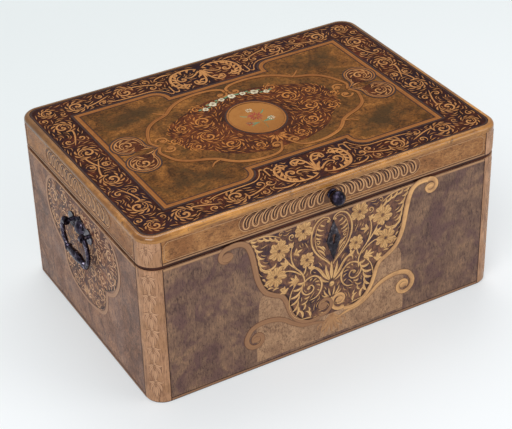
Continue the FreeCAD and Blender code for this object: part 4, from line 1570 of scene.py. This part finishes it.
    def scrolls(self) -> Ribbons:
        """The two ring scrolls, the acanthus in the lower lobes and the palmette between them.

        Returns:
            Their ribbons.
        """
        ring = [(27, 62.5), (19, 64), (13.5, 70), (11.8, 78), (14.5, 86.5), (21, 91.5), (29, 90.5), (35, 85),
                (36, 77.5), (31.5, 71.5), (25, 71.5), (21.5, 76), (24, 81), (28.5, 80)]
        lobe = [(42, 90), (48, 82), (51, 71), (50.5, 59), (45.5, 48.5), (37, 42.5), (25, 40.5)]
        found = [stroke(ring, [0.5, 1.2, 1.4, 1.2, 1.1, 1.0, 0.9], 1.0), spot((27.5, 78.5), 2.4, 0.9),
                 stroke(lobe, [0.5, 1.1, 1.1, 0.7], 1.0)]
        found += fringe(smooth(lobe), 17, 3.9, 8, -128, 1.0, 0.5)
        found += fringe(smooth([(34, 68), (38, 60), (35, 52), (27, 47)]), 10, 2.8, 4, -125, 0.85, 0.5)
        found += fringe(smooth([(14.5, 70), (13.5, 79), (17, 87), (24, 90)]), 7, 2.2, 5, -60, 0.85, 0.3)
        found += [leaf((1.5, 79), (7, 101), -0.12, 4.6, 0.95), leaf((1, 58), (3.5, 70), -0.1, 2.6, 0.9),
                  leaf((2.5, 58), (9.5, 70), -0.25, 2.8, 0.85), leaf((4, 59), (12, 64), -0.3, 2.4, 0.8),
                  stroke([(2.5, 79), (9, 87), (14.5, 96), (20, 101), (25, 99.5), (25.5, 95.5)],
                         [0.8, 2.0, 2.3, 1.6, 0.5], 0.95),
                  stroke([(3, 77), (10, 81), (14, 88)], [0.6, 1.6, 0.3], 0.85)]
        return both_sides(found) + [leaf((0, 79), (0, 103), 0, 5.0, 1.0), spot((0, 73.5), 3.2, 0.95, 1.35),
                                    spot((0, 55), 2.4, 0.8)]

    def pendant(self) -> Ribbons:
        """The bell of leaves that hangs under the volutes.

        Returns:
            The leaves.
        """
        found = fan((0, 38), 28, 7, 70, 270, 4.4, 0.4, 0.22, 0.06)
        lower = [leaf((2, 36), (13.5, 27), -0.35, 4.0, 0.45), leaf((9, 25), (11.5, 13), 0.3, 3.0, 0.35),
                 leaf((5, 20), (8, 9), 0.3, 2.6, 0.3), leaf((13, 27), (17, 19), 0.4, 2.6, 0.3)]
        return found + both_sides(lower)

    def inlay(self) -> Ribbons:
        """Flowers, scrolls and the heart, with small strokes that fill the ground between them.

        Returns:
            All the shield's ribbons.
        """
        found = self.flowers() + self.scrolls() + self.lyre()
        ground = [(0, 162), *self.edge(), (0, 36)]
        return found + both_sides(Filling(gap=1.0).fill(found, ground, [self.heart_outline()]))

    def build(self) -> None:
        """Lays the shield, and the pendant over it."""
        super().build()
        face = self.bench(self.sizes.face(self.side), "case")
        face.lay("front_pendant", Tone.STRAP, self.pendant(), top=0.40, foot=0.0)


@dataclass
class EndCartouche(Cartouche):
    """The rounded shield of scrolls behind a drop handle."""

    shield: tuple[Point, ...] = (
        (159, 62), (154, 74), (148, 80), (140, 84), (128, 86), (116, 84), (104, 78), (96, 70), (88, 58),
        (84, 51), (76, 49.5), (66, 48), (58, 44), (51, 36), (46, 24), (44, 12))
    field: tuple[Point, ...] = ((96, 70), (92, 82), (84, 90), (60, 92), (8, 92))
    tones: tuple[Tone, Tone, Tone, Tone] = (Tone.END_FIELD, Tone.WARM, Tone.SIDE_STRAP, Tone.SIDE_GOLD)
    outline: Point = (2.6, 1.0)
    side_strap: tuple[Point, ...] = (
        (60, 160), (71, 158.5), (80, 152), (86, 142), (88.5, 130), (87, 117), (81, 104), (71, 92), (60, 85.5),
        (54, 82.5), (52.5, 75), (51, 67), (47.5, 58), (40, 50), (28, 45), (14, 42), (0, 40.5))
    scrolls: tuple[tuple[float, float, float, float, int], ...] = (
        (68, 136, 14, 250, 1), (42, 148, 11, 20, 1), (18, 144, 11, 160, -1), (66, 110, 13, 100, -1),
        (42, 122, 13, 300, 1), (17, 118, 12, 90, 1), (44, 96, 11, 60, 1), (20, 92, 12, 200, -1),
        (38, 73, 11, 100, -1), (14, 69, 10, 30, 1), (27, 55, 9, 120, 1))

    def straps(self) -> Ribbons:
        """The frame's side bands and their lower ends, which meet in a point."""
        return both_sides([band(self.side_strap, [1.8, 2.4, 2.7, 2.6, 2.4, 2.0], [0.2, 0.5, 0.3, 0.4, 0.2])]
                          + volute((66, 150), 6.5, 60, 330, 1.4, 0.3))

    def inlay(self) -> Ribbons:
        """Foliate scrolls and leaves, with small strokes that fill the ground between them.

        Returns:
            All the shield's ribbons.
        """
        found: Ribbons = []
        for right, up, radius, start, hand in self.scrolls:
            found += scroll((right, up), radius, start, hand, 6)
        rim = smooth([(78, 150), (83, 140), (84.5, 130), (82, 117), (76, 105)])
        waist = smooth([(66, 94), (56, 88), (50, 80), (48, 68), (43, 58)])
        found += fringe(rim, 7, 2.4, 9, -115, 0.8, -0.3) + fringe(waist, 7, 2.4, 7, -115, 0.8, -0.3)
        found += Filling(half=0.65).fill(found, [(0, 159), *self.edge(), (0, 44)])
        palmettes = fan((0, 46), 16, 7, 120, 90, 3.4, 0.85) + fan((0, 154), 16, 7, 130, 270, 3.2, 0.8)
        return both_sides(found) + palmettes


@dataclass
class BackPanel(Assembly):
    """A plain frame of strapwork on the back, with a small scroll in each corner."""

    inset: float = 16.0
    notch: float = 12.0

    def build(self) -> None:
        """Lays the frame and its corner scrolls."""
        half, notch = self.sizes.half("back") - self.inset, self.notch
        low, high = self.sizes.body_low + self.inset, self.sizes.body_high - self.inset
        corner = [(half - notch, low), (half - notch, low + notch), (half, low + notch)]
        ring = whole(half_of(corner, (low + high) / 2))
        found = [band(ring, 1.6, 0.5, closed=True)]
        for up, sign in ((low + 26, 1), (high - 26, -1)):
            found += both_sides(volute((half - 28, up), 8, 20 * sign, -400 * sign, 1.2, 0.6)
                                + fan((half - 16, up - 12 * sign), 16, 5, 100, 90 * sign + 45, 3.4, 0.7))
        self.bench(self.sizes.face("back"), "case").lay("back_straps", Tone.STRAP, found, top=0.16)


@dataclass
class CornerStrips(Assembly):
    """Engraved drops of leaves down the quarter-round corners of case and lid."""

    drops: int = 7
    margin: float = 6.0

    @staticmethod
    def drop(up: float, size: float) -> Ribbons:
        """One drop: a pair of leaves that curl out like a moustache, over a pendant leaf.

        Args:
            up: The height of its top.
            size: Its length.

        Returns:
            The drop's ribbons.
        """
        found = [spot((0, up), 0.09 * size, 0.9),
                 leaf((0, up - 0.3 * size), (0, up - size), 0, 0.24 * size, 0.8)]
        pair = [leaf((0.4, up), (0.38 * size, up - 0.10 * size), -0.45, 0.20 * size, 0.8),
                leaf((0.3, up - 0.1 * size), (0.24 * size, up - 0.62 * size), 0.3, 0.2 * size, 0.7),
                leaf((0.3, up - 0.2 * size), (0.1 * size, up - 0.85 * size), 0.2, 0.13 * size, 0.6)]
        return found + both_sides(pair)

    def build(self) -> None:
        """Lays the drops and the edge lines on all four corners."""
        sizes = self.sizes
        reach = sizes.post * math.pi / 4 - 0.4
        pitch = (sizes.body_high - sizes.body_low - 2 * self.margin) / self.drops
        drops: Ribbons = []
        for number in range(self.drops):
            drops += self.drop(sizes.body_high - self.margin - number * pitch, 1.05 * pitch)
        high = sizes.lid_high
        swags = [stroke([(0.5, high - 3), (5, high - 7), (11, high - 3)], 0.5, 0.8),
                 stroke([(0.5, high - 6), (5, high - 11), (11, high - 7)], 0.4, 0.7)]
        lid_drops = self.drop(high - 5, 22) + both_sides(swags)
        parts = (("case", "", drops, sizes.body_low, sizes.body_high),
                 ("lid", "lid_", lid_drops, sizes.lid_low, sizes.lid_high))
        for name, x_sign, y_sign in CORNERS:
            for body, prefix, leaves, low, high in parts:
                face = self.bench(sizes.corner(x_sign, y_sign), body)
                face.lay(prefix + "drops_" + name, Tone.ENGRAVED, leaves, top=0.30, foot=-0.02)
                edge = both_sides([straight((reach, low), (reach, high), 0.45)])
                face.lay(prefix + "corner_lines_" + name, Tone.DARK_LINE, edge, top=0.12)


@dataclass
class TopBorder(Assembly):
    """The dark border of the lid's top: running scrolls, acanthus within the brackets, bandwork."""

    reach: float = 13.4
    small: float = 6.0

    def run(self, first: float, pitch: float, middle: float, hand: int) -> Ribbons:
        """Two big scrolls with a small curl before each, joined by a waving stem.

        Args:
            first: The place of the first small curl along the run.
            pitch: The step from a small curl to the next scroll.
            middle: The run's place across.
            hand: The first scroll's hand.

        Returns:
            The run's ribbons.
        """
        found: Ribbons = []
        for number in range(2):
            turn = hand if number % 2 == 0 else -hand
            place = first + 2 * number * pitch
            eye = (place + pitch, middle)
            found += scroll(eye, self.reach, 180, turn)
            found += curl((place - 1, middle + turn * 7), self.small, 90, -turn, 0.9, 0.9)
            found += curl((place + 1, middle - turn * 8), self.small, 270, turn, 0.9, 0.8)
            stem = [(place - 11, middle + turn * 4), (place - 2, middle), (place + 8, middle - turn * 4),
                    (place + pitch - 11, middle - turn * 6), (place + pitch - 9.2, middle)]
            found.append(stroke(stem, [0.4, 1.0, 1.1, 0.9], 0.9))
        return found

    def bracket_half(self) -> Ribbons:
        """Half of the acanthus and scrolls within one bracket.

        Returns:
            The half's ribbons.
        """
        great = smooth([(3, 130), (12, 134), (24, 134), (35, 129), (41, 118), (40.5, 106), (35, 98.5),
                        (28, 98), (26, 103)])
        frond = smooth([(1.5, 124), (2, 112), (5, 101.5), (11, 96), (17.5, 98.5), (18, 105), (14, 106)])
        half = [stroke(great, [0.6, 1.4, 1.8, 1.8, 1.5, 0.8], 0.95),
                stroke(frond, [0.6, 1.2, 1.5, 1.2, 0.7], 1.0),
                stroke([(3, 126), (10, 119), (18, 115.5), (22, 119), (18.5, 122)], [0.5, 1.3, 1.1, 0.6], 0.9),
                stroke([(32, 134), (41, 136), (50, 134.5), (56, 130), (53, 127.5)],
                       [0.6, 1.3, 1.0, 0.5], 0.9),
                stroke([(47.5, 95), (47.5, 110)], [1.1, 0.8], 0.9),
                stroke([(40.5, 99), (43, 94.5), (47.5, 96)], [0.4, 1.1, 0.8], 0.9),
                stroke([(47.5, 96), (51, 94), (53.5, 98)], [0.8, 1.1, 0.4], 0.9)]
        third = len(great) // 3
        half += fringe(great[third:], 11, 3.6, 8, -44, 0.95, -0.45)
        half += fringe(frond, 10, 3.2, 6, 52, 0.95, 0.45)
        half += fringe(great[2 * third:], 5, 2.8, 4, 55, 0.9, 0.4)
        half += fringe(great[:third + 3], 9, 3.2, 4, -70, 0.85, 0.4)
        half += curl((27, 116), 8, 100, -1, 1.5, 0.9) + curl((54, 120), 6.6, 180, -1, 1.0, 0.9)
        return half + [leaf((0, 127), (0, 106), 0, 3.2, 1.0), leaf((0.5, 127), (9, 111), -0.15, 3.4, 0.9)]

    def bandwork(self) -> Ribbons:
        """Lines that follow the panel's step out of the bracket and end in a small curl.

        Returns:
            The lines.
        """
        edge = [(52, 93), (54, 99), (58, 105), (63, 109), (70, 111), (85, 111.4), (100, 111.6), (112, 113),
                (120, 116)]
        return [stroke(edge, [0.5, 0.9, 0.9, 0.7], 0.95)] + curl((121, 119), 3.2, 270, 1, 0.5, 0.9)

    def corner(self) -> Ribbons:
        """The curls and leaves that turn each corner."""
        found = scroll((185, 127), 11, 200, 1) + curl((172, 117), 4.5, 60, 1, 0.7, 0.9)
        return found + curl((195, 112), 5, 300, -1, 0.9, 0.85)

    def build(self) -> None:
        """Lays the running scrolls, the bracket's and the corner's ornament, and the dark line at the rim."""
        face = self.bench(self.sizes.top(), "lid")
        across = (self.sizes.border[0] + self.sizes.panel[0]) / 2
        upward = (self.sizes.border[1] + self.sizes.panel[1]) / 2
        end_run = [ribbon.moved(across - 1, 0, 90) for ribbon in self.run(0, 30, 0, 1)]
        run = self.run(65, 29, upward - 1, -1) + end_run
        fixed = self.bracket_half() + self.bandwork() + self.corner()
        filling = Filling(gap=1.0).fill(run + fixed, self.quarter())
        face.lay("border_scrolls", Tone.TOP_GOLD, four_ways(run + filling), top=0.26)
        face.lay("border_palmettes", Tone.TOP_GOLD, four_ways(fixed), top=0.30)
        face.lay("border_rim", Tone.DARK_LINE, [self.rim(1.6, 1.0)], top=0.15)

    def rim(self, inset: float, half: float) -> Ribbon:
        """A line that follows the border's outer edge round its corners.

        Args:
            inset: How far inside the edge it runs.
            half: Its half width.

        Returns:
            The line.
        """
        x, y = self.sizes.border
        turn = self.sizes.post - (self.sizes.side - x)
        quarter = [polar((x - turn, y - turn), turn - inset, 90 - 15 * step) for step in range(7)]
        return band(whole(half_of(quarter)), half, closed=True)

    def quarter(self) -> list[Point]:
        """A quarter of the border's own outline, a little within its edges.

        Returns:
            The quarter's corners.
        """
        x, y = self.sizes.border
        px, py = self.sizes.panel
        step = [(0.0, 89.8), (54.5, 89.8), (57, 97), (62, 104), (68, 108), (74, py + 1.5)]
        return step + [(px + 1.5, py + 1.5), (px + 1.5, 0), (x - 1.5, 0), (x - 1.5, y - 14),
                       (x - 14, y - 1.5), (0, y - 1.5)]


@dataclass
class TopPanel(Assembly):
    """The burr panel in the border: its gold edge, strapwork cartouche, lunettes and flower medallion."""

    edge: float = 5.8
    bracket: Point = (56.0, 88.3)
    step_radius: float = 19.2
    oval: Point = (29.0, 32.5)
    upper: tuple[Point, ...] = (
        (2, 66), (3, 72), (12, 77), (30, 79), (50, 76), (66, 68), (80, 56), (95, 50), (106, 42), (113, 32),
        (118, 20), (120, 10), (115, 1))
    lower: tuple[Point, ...] = (
        (115, -1), (120, -10), (118, -20), (112, -33), (100, -42), (85, -48), (75, -54), (68, -62), (58, -70),
        (40, -76), (20, -76), (10, -70), (5, -60))
    bed: tuple[Point, ...] = (
        (58, 30), (52, 50), (44, 70), (34, 90), (20, 100), (0, 102), (-20, 96), (-34, 78), (-46, 66),
        (-58, 50), (-66, 24))
    lunette: tuple[Point, ...] = (
        (116, 0.5), (123, 5), (126.5, 12), (126.5, 22), (131, 31.5), (141, 36.5), (151, 34), (158, 26),
        (159, 16), (154.5, 7.5), (147.5, 4), (141, 6))
    scrolls: tuple[tuple[float, float, float, float, int], ...] = (
        (52, 22, 14, 200, 1), (62, -8, 13, 150, -1), (48, -34, 13, 90, 1), (26, -52, 10, 40, -1),
        (78, 20, 10, 200, 1), (82, -20, 10, 160, -1), (46, 48, 10, 300, -1), (96, 2, 9, 90, 1))

    def outline(self, inset: float) -> Line:
        """The panel's outline drawn in by an inset: straight sides, and quarter rounds at the brackets.

        Args:
            inset: How far inside the panel's edge it runs.

        Returns:
            The outline.
        """
        x, y = self.sizes.panel[0] - inset, self.sizes.panel[1] - inset
        centre = (self.bracket[0] + self.step_radius, self.bracket[1])
        quarter = [(self.bracket[0] + inset, self.bracket[1] - inset)]
        quarter += [polar(centre, self.step_radius - inset, 180 - 15 * step) for step in range(7)] + [(x, y)]
        return whole(half_of(quarter))

    def fields(self) -> Ribbons:
        """The dark hearts of the burr, on both sides of the cartouche's bands.

        Returns:
            The fields.
        """
        corner = [(64, 80, 97), (76, 68, 101), (92, 57, 101), (108, 47, 101), (124, 40, 101), (142, 42, 101),
                  (158, 40, 101)]
        inner = [(36, -24, 26), (56, -44, 50), (76, -44, 48), (96, -36, 40), (112, -24, 26), (116, -6, 6)]
        head = [(-60, 58, 64), (-40, 40, 72), (0, 38, 64), (40, 40, 72), (60, 58, 64)]
        foot = [(-56, -64, -58), (-36, -70, -38), (0, -58, -38), (36, -70, -38), (56, -64, -58)]
        bay = [(-54, 78, 83), (-30, 82, 83.2), (0, 70, 83.2), (30, 82, 83.2), (54, 78, 83)]
        middle = [area(head, 0.9), area(foot, 0.7), area(bay, 0.8)]
        return four_ways([area(corner)]) + both_sides([area(inner)]) + middle

    def cartouche(self) -> Ribbons:
        """The strapwork round the middle: two lobes to a side, with curls where they meet.

        Returns:
            The bands.
        """
        found = [band(self.upper, [2.0, 2.6, 2.8, 2.5, 1.8], [0.8, 0.5, 0.3, 0.6]),
                 band(self.lower, [1.8, 2.5, 2.8, 2.5, 1.5], [0.6, 0.4, 0.8, 0.6])]
        found += volute((107, 9), 7.5, 10, 380, 1.6, 0.8) + volute((107, -9), 7.5, -10, -380, 1.6, 0.8)
        found += volute((8.5, 62), 7, 160, 330, 1.6, 0.8) + volute((11, -61), 6.5, 180, -360, 1.6, 0.8)
        found += [band([(78, 56), (84, 60), (90, 66)], [1.6, 0.8], 0.7),
                  band([(74, -55), (82, -58), (88, -64)], [1.6, 0.8], 0.7)]
        return both_sides(found)

    def lunettes(self) -> tuple[Ribbons, Ribbons, Ribbons]:
        """The two-lobed dark patches at the ends: their ground, frame and scrolls.

        Returns:
            The ground, the frames and the scrolls.
        """
        ground = [spot((142.8, 19.5), 16.5, 0.3, 1.0, Section.TABLE, 25),
                  replace(leaf((118, 0.5), (146, 14), 0.12, 13, 0.3, 1.3), section=Section.TABLE)]
        scrolls = scroll((143, 20), 12.6, 220, 1, 7, 0.8)
        scrolls += [leaf((121, 1.8), (135, 5), 0.2, 2.4, 0.85), leaf((128, 6), (131, 17), 0.3, 2.4, 0.8)]
        inner = 0.85 * np.array(self.lunette) + 0.15 * np.array([139.0, 17.0])
        scrolls.append(stroke([tuple(point) for point in inner], [0.5, 0.9, 0.9, 0.6], 0.9))
        frame_band = band(self.lunette, [0.6, 0.9, 0.9, 0.6], 0.75)
        return four_ways(ground), four_ways([frame_band]), four_ways(scrolls)

    def foliage(self) -> Ribbons:
        """Sprays and scrolls about the medallion.

        Returns:
            The sprays' ribbons.
        """
        found: Ribbons = []
        for right, up, radius, start, hand in self.scrolls:
            found += scroll((right, up), radius, start, hand, 7)
        ground = [(0, -66), (0, 58), *((half, up) for up, half in self.bed)]
        found += Filling().fill(found, ground, [self.ellipse(5)])
        return both_sides(found) + fan((0, -40), 16, 7, 130, 270, 3.4, 0.75)

    def bouquet(self) -> dict[Tone, Ribbons]:
        """The flowers in the medallion and the garland over it, by finish.

        Returns:
            Each finish's ribbons.
        """
        green = [leaf((0, -12), (-17, -4), 0.2, 6, 0.7), leaf((0, -12), (17, -4), -0.2, 6, 0.7),
                 leaf((-2, -12), (-15, -16), -0.2, 5, 0.5), leaf((2, -12), (15, -16), 0.2, 5, 0.5),
                 leaf((-6, 4), (-15, 12), 0.2, 4, 0.8), leaf((6, 4), (15, 12), -0.2, 4, 0.8),
                 stroke([(0, -26), (1.5, -16), (0, -4)], [0.9, 0.6], 0.4)]
        red = flower((0, 2), 9.5, 9, 0, 0.8) + flower((-13, -9), 4.6, 6, 10, 0.7)
        pearl = flower((13, -9), 4.6, 6, 20, 0.9) + flower((0, 16), 4.4, 6, 0, 0.9)
        for step in range(-3, 4):
            centre = polar((0, -18), 72, 90 + 10.5 * step)
            pearl += flower(centre, 3.6 if step % 2 else 4.8, 5, 18 * step, 0.95)
            green += [leaf(polar(centre, 3, 20), polar(centre, 8.5, 8), 0.2, 3.0, 0.7),
                      leaf(polar(centre, 3, 160), polar(centre, 8.5, 172), -0.2, 3.0, 0.7)]
        return {Tone.GREEN: green, Tone.RED: red, Tone.PEARL: pearl}

    def ellipse(self, spread: float) -> Line:
        """The medallion's outline, grown by a spread.

        Args:
            spread: How far it is grown.

        Returns:
            The outline.
        """
        angle = np.linspace(0, 2 * math.pi, 60, endpoint=False)
        across, upward = self.oval[0] + spread, self.oval[1] + spread
        return np.stack([across * np.cos(angle), upward * np.sin(angle)], axis=1)

    def build(self) -> None:
        """Lays the panel's fields, straps and inlay."""
        face = self.bench(self.sizes.top(), "lid")
        face.lay("panel_fields", Tone.PANEL, self.fields(), top=0.02)
        face.lay("foliage_ground", Tone.HEART, [plot(self.bed)], top=0.12)
        edge = band(self.outline(self.edge / 2 + 0.4), self.edge / 2, 0.45, closed=True)
        face.lay("panel_edge", Tone.PANEL_STRAP, [edge], top=0.14)
        ground, frames, scrolls = self.lunettes()
        rings = ((self.outline(-0.6), 1.0), (self.outline(self.edge + 0.7), 0.4), (self.ellipse(3), 0.9))
        dark = [band(ring, half, closed=True) for ring, half in rings]
        dark += four_ways([band(self.lunette, 2.5)])
        face.lay("panel_dark_lines", Tone.DARK_LINE, dark, top=0.17)
        face.lay("lunette_ground", Tone.HEART, ground, top=0.10)
        face.lay("panel_straps", Tone.PANEL_STRAP, self.cartouche() + frames, top=0.26, foot=0.0)
        face.lay("lunette_scrolls", Tone.TOP_GOLD, scrolls, top=0.30, foot=0.05)
        face.lay("panel_foliage", Tone.LEAF, self.foliage(), top=0.30, foot=0.05)
        disc = spot((0, 0), self.oval[0], 0.8, self.oval[1] / self.oval[0], Section.TABLE, 41)
        face.lay("medallion", Tone.MEDALLION, [disc], top=0.38, foot=0.0)
        ring = band(self.ellipse(1), 1.2, 0.6, closed=True)
        face.lay("medallion_ring", Tone.PANEL_STRAP, [ring], top=0.44, foot=0.0)
        for tone, ribbons in self.bouquet().items():
            face.lay("bouquet_" + tone.name.lower(), tone, ribbons, top=0.50, foot=0.1)


# Studio

@dataclass
class Studio:
    """A pale floor, soft lamps and the camera at the photograph's angle."""

    azimuth: float = -29.1414
    elevation: float = 33.3014
    roll: float = -1.6911
    distance: float = 1.74493
    across: float = -0.00344
    up: float = 0.06376
    focal_pixels: float = 1543.72
    sensor: float = 36.0
    floor_glow: float = 0.30
    floor_half: float = 20.0
    sky: Colour = (0.92, 0.93, 0.95)
    sky_strength: float = 0.5

    def camera(self) -> None:
        """Makes the camera from its angles, its distance and its shift across and up from the origin."""
        azimuth, elevation = math.radians(self.azimuth), math.radians(self.elevation)
        back = Vector((math.sin(azimuth) * math.cos(elevation), -math.cos(azimuth) * math.cos(elevation),
                       math.sin(elevation)))
        right = Vector((math.cos(azimuth), math.sin(azimuth), 0))
        up = back.cross(right)
        place = back * self.distance + right * self.across + up * self.up
        turn = math.radians(self.roll)
        rolled = right * math.cos(turn) + up * math.sin(turn)
        upright = up * math.cos(turn) - right * math.sin(turn)
        data = bpy.data.cameras.new("camera")
        data.sensor_fit = "HORIZONTAL"
        data.sensor_width = self.sensor
        data.lens = self.focal_pixels / PHOTO_WIDTH * self.sensor
        data.clip_start, data.clip_end = 0.05, 60
        camera = bpy.data.objects.new("camera", data)
        bpy.context.scene.collection.objects.link(camera)
        axes = Matrix((rolled, upright, back)).transposed().to_4x4()
        camera.matrix_world = Matrix.Translation(place) @ axes
        bpy.context.scene.camera = camera

    def lamp(self, name: str, place: Sequence[float], size: float, power: float) -> None:
        """A square soft lamp aimed at the casket's middle.

        Args:
            name: The lamp's name.
            place: Where it hangs.
            size: Its side in metres.
            power: Its power in watts.
        """
        data = bpy.data.lights.new(name, "AREA")
        data.energy, data.size = power, size
        lamp = bpy.data.objects.new(name, data)
        lamp.location = place
        lamp.rotation_mode = "QUATERNION"
        lamp.rotation_quaternion = (Vector((0, 0, 0.1)) - Vector(place)).to_track_quat("-Z", "Y")
        bpy.context.scene.collection.objects.link(lamp)

    def floor(self) -> None:
        """A wide pale floor at the casket's foot, with painted shade that darkens it towards the back."""
        paint = Paint("floor_paper")
        # Painted shade: the floor is paler at the front and darker towards the back, for the lamps' falloff.
        depth = paint.node("SeparateXYZ", {0: paint.place()}).outputs[1]
        colour = paint.mix(paint.fit(depth, -0.3, 0.8), (207, 210, 212), (188, 194, 194))
        rays = paint.node("LightPath", {}).outputs
        seen = paint.maths("MAXIMUM", rays["Is Camera Ray"], rays["Is Glossy Ray"])
        seen = paint.maths("MAXIMUM", seen, rays["Is Transmission Ray"])
        glow = paint.maths("MULTIPLY", seen, self.floor_glow)
        paint.tree.links.new(glow, paint.shader.inputs["Emission Strength"])
        paint.shader.inputs["Emission Color"].default_value = srgb(250, 254, 255)
        mesh = bpy.data.meshes.new("floor")
        half = self.floor_half
        corners = [(-half, -half, 0), (half, -half, 0), (half, half, 0), (-half, half, 0)]
        mesh.from_pydata(corners, [], [(0, 1, 2, 3)])
        mesh.materials.append(paint.finish(colour, 0.9, Specular_IOR_Level=0.2))
        floor = bpy.data.objects.new("floor", mesh)
        bpy.context.scene.collection.objects.link(floor)

    def build(self) -> None:
        """Sets the stage."""
        self.camera()
        self.floor()
        self.lamp("key", (-1.6, -1.4, 2.6), 1.8, 46)
        self.lamp("top", (0.6, 1.2, 2.6), 1.8, 26)
        self.lamp("fill", (2.2, -2.2, 1.8), 2.0, 24)
        world = bpy.data.worlds.new("studio")
        world.use_nodes = True
        background = world.node_tree.nodes["Background"]
        background.inputs[0].default_value = (*self.sky, 1)
        background.inputs[1].default_value = self.sky_strength
        bpy.context.scene.world = world
        bpy.context.scene.view_settings.view_transform = "Standard"


def main() -> None:
    """Builds the casket's looks and reports each piece."""
    logging.basicConfig(level=logging.INFO, format="%(name)s: %(message)s")
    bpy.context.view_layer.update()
    sizes, palette = Sizes.from_frame(), Palette()
    case = Case(sizes, palette)
    case.dress()
    case.stringing()
    case.lid_stringing()
    Frieze(sizes, palette, "front", half=106.5, count=9, bare_middle=8.0).build()
    for side in ENDS:
        Frieze(sizes, palette, side, half=78.0, count=7, bare_middle=1.0).build()
    FrontCartouche(sizes, palette).build()
    for side in ENDS:
        EndCartouche(sizes, palette, side).build()
    BackPanel(sizes, palette).build()
    CornerStrips(sizes, palette).build()
    TopBorder(sizes, palette).build()
    TopPanel(sizes, palette).build()
    Studio().build()


if __name__ == "__main__":
    main()
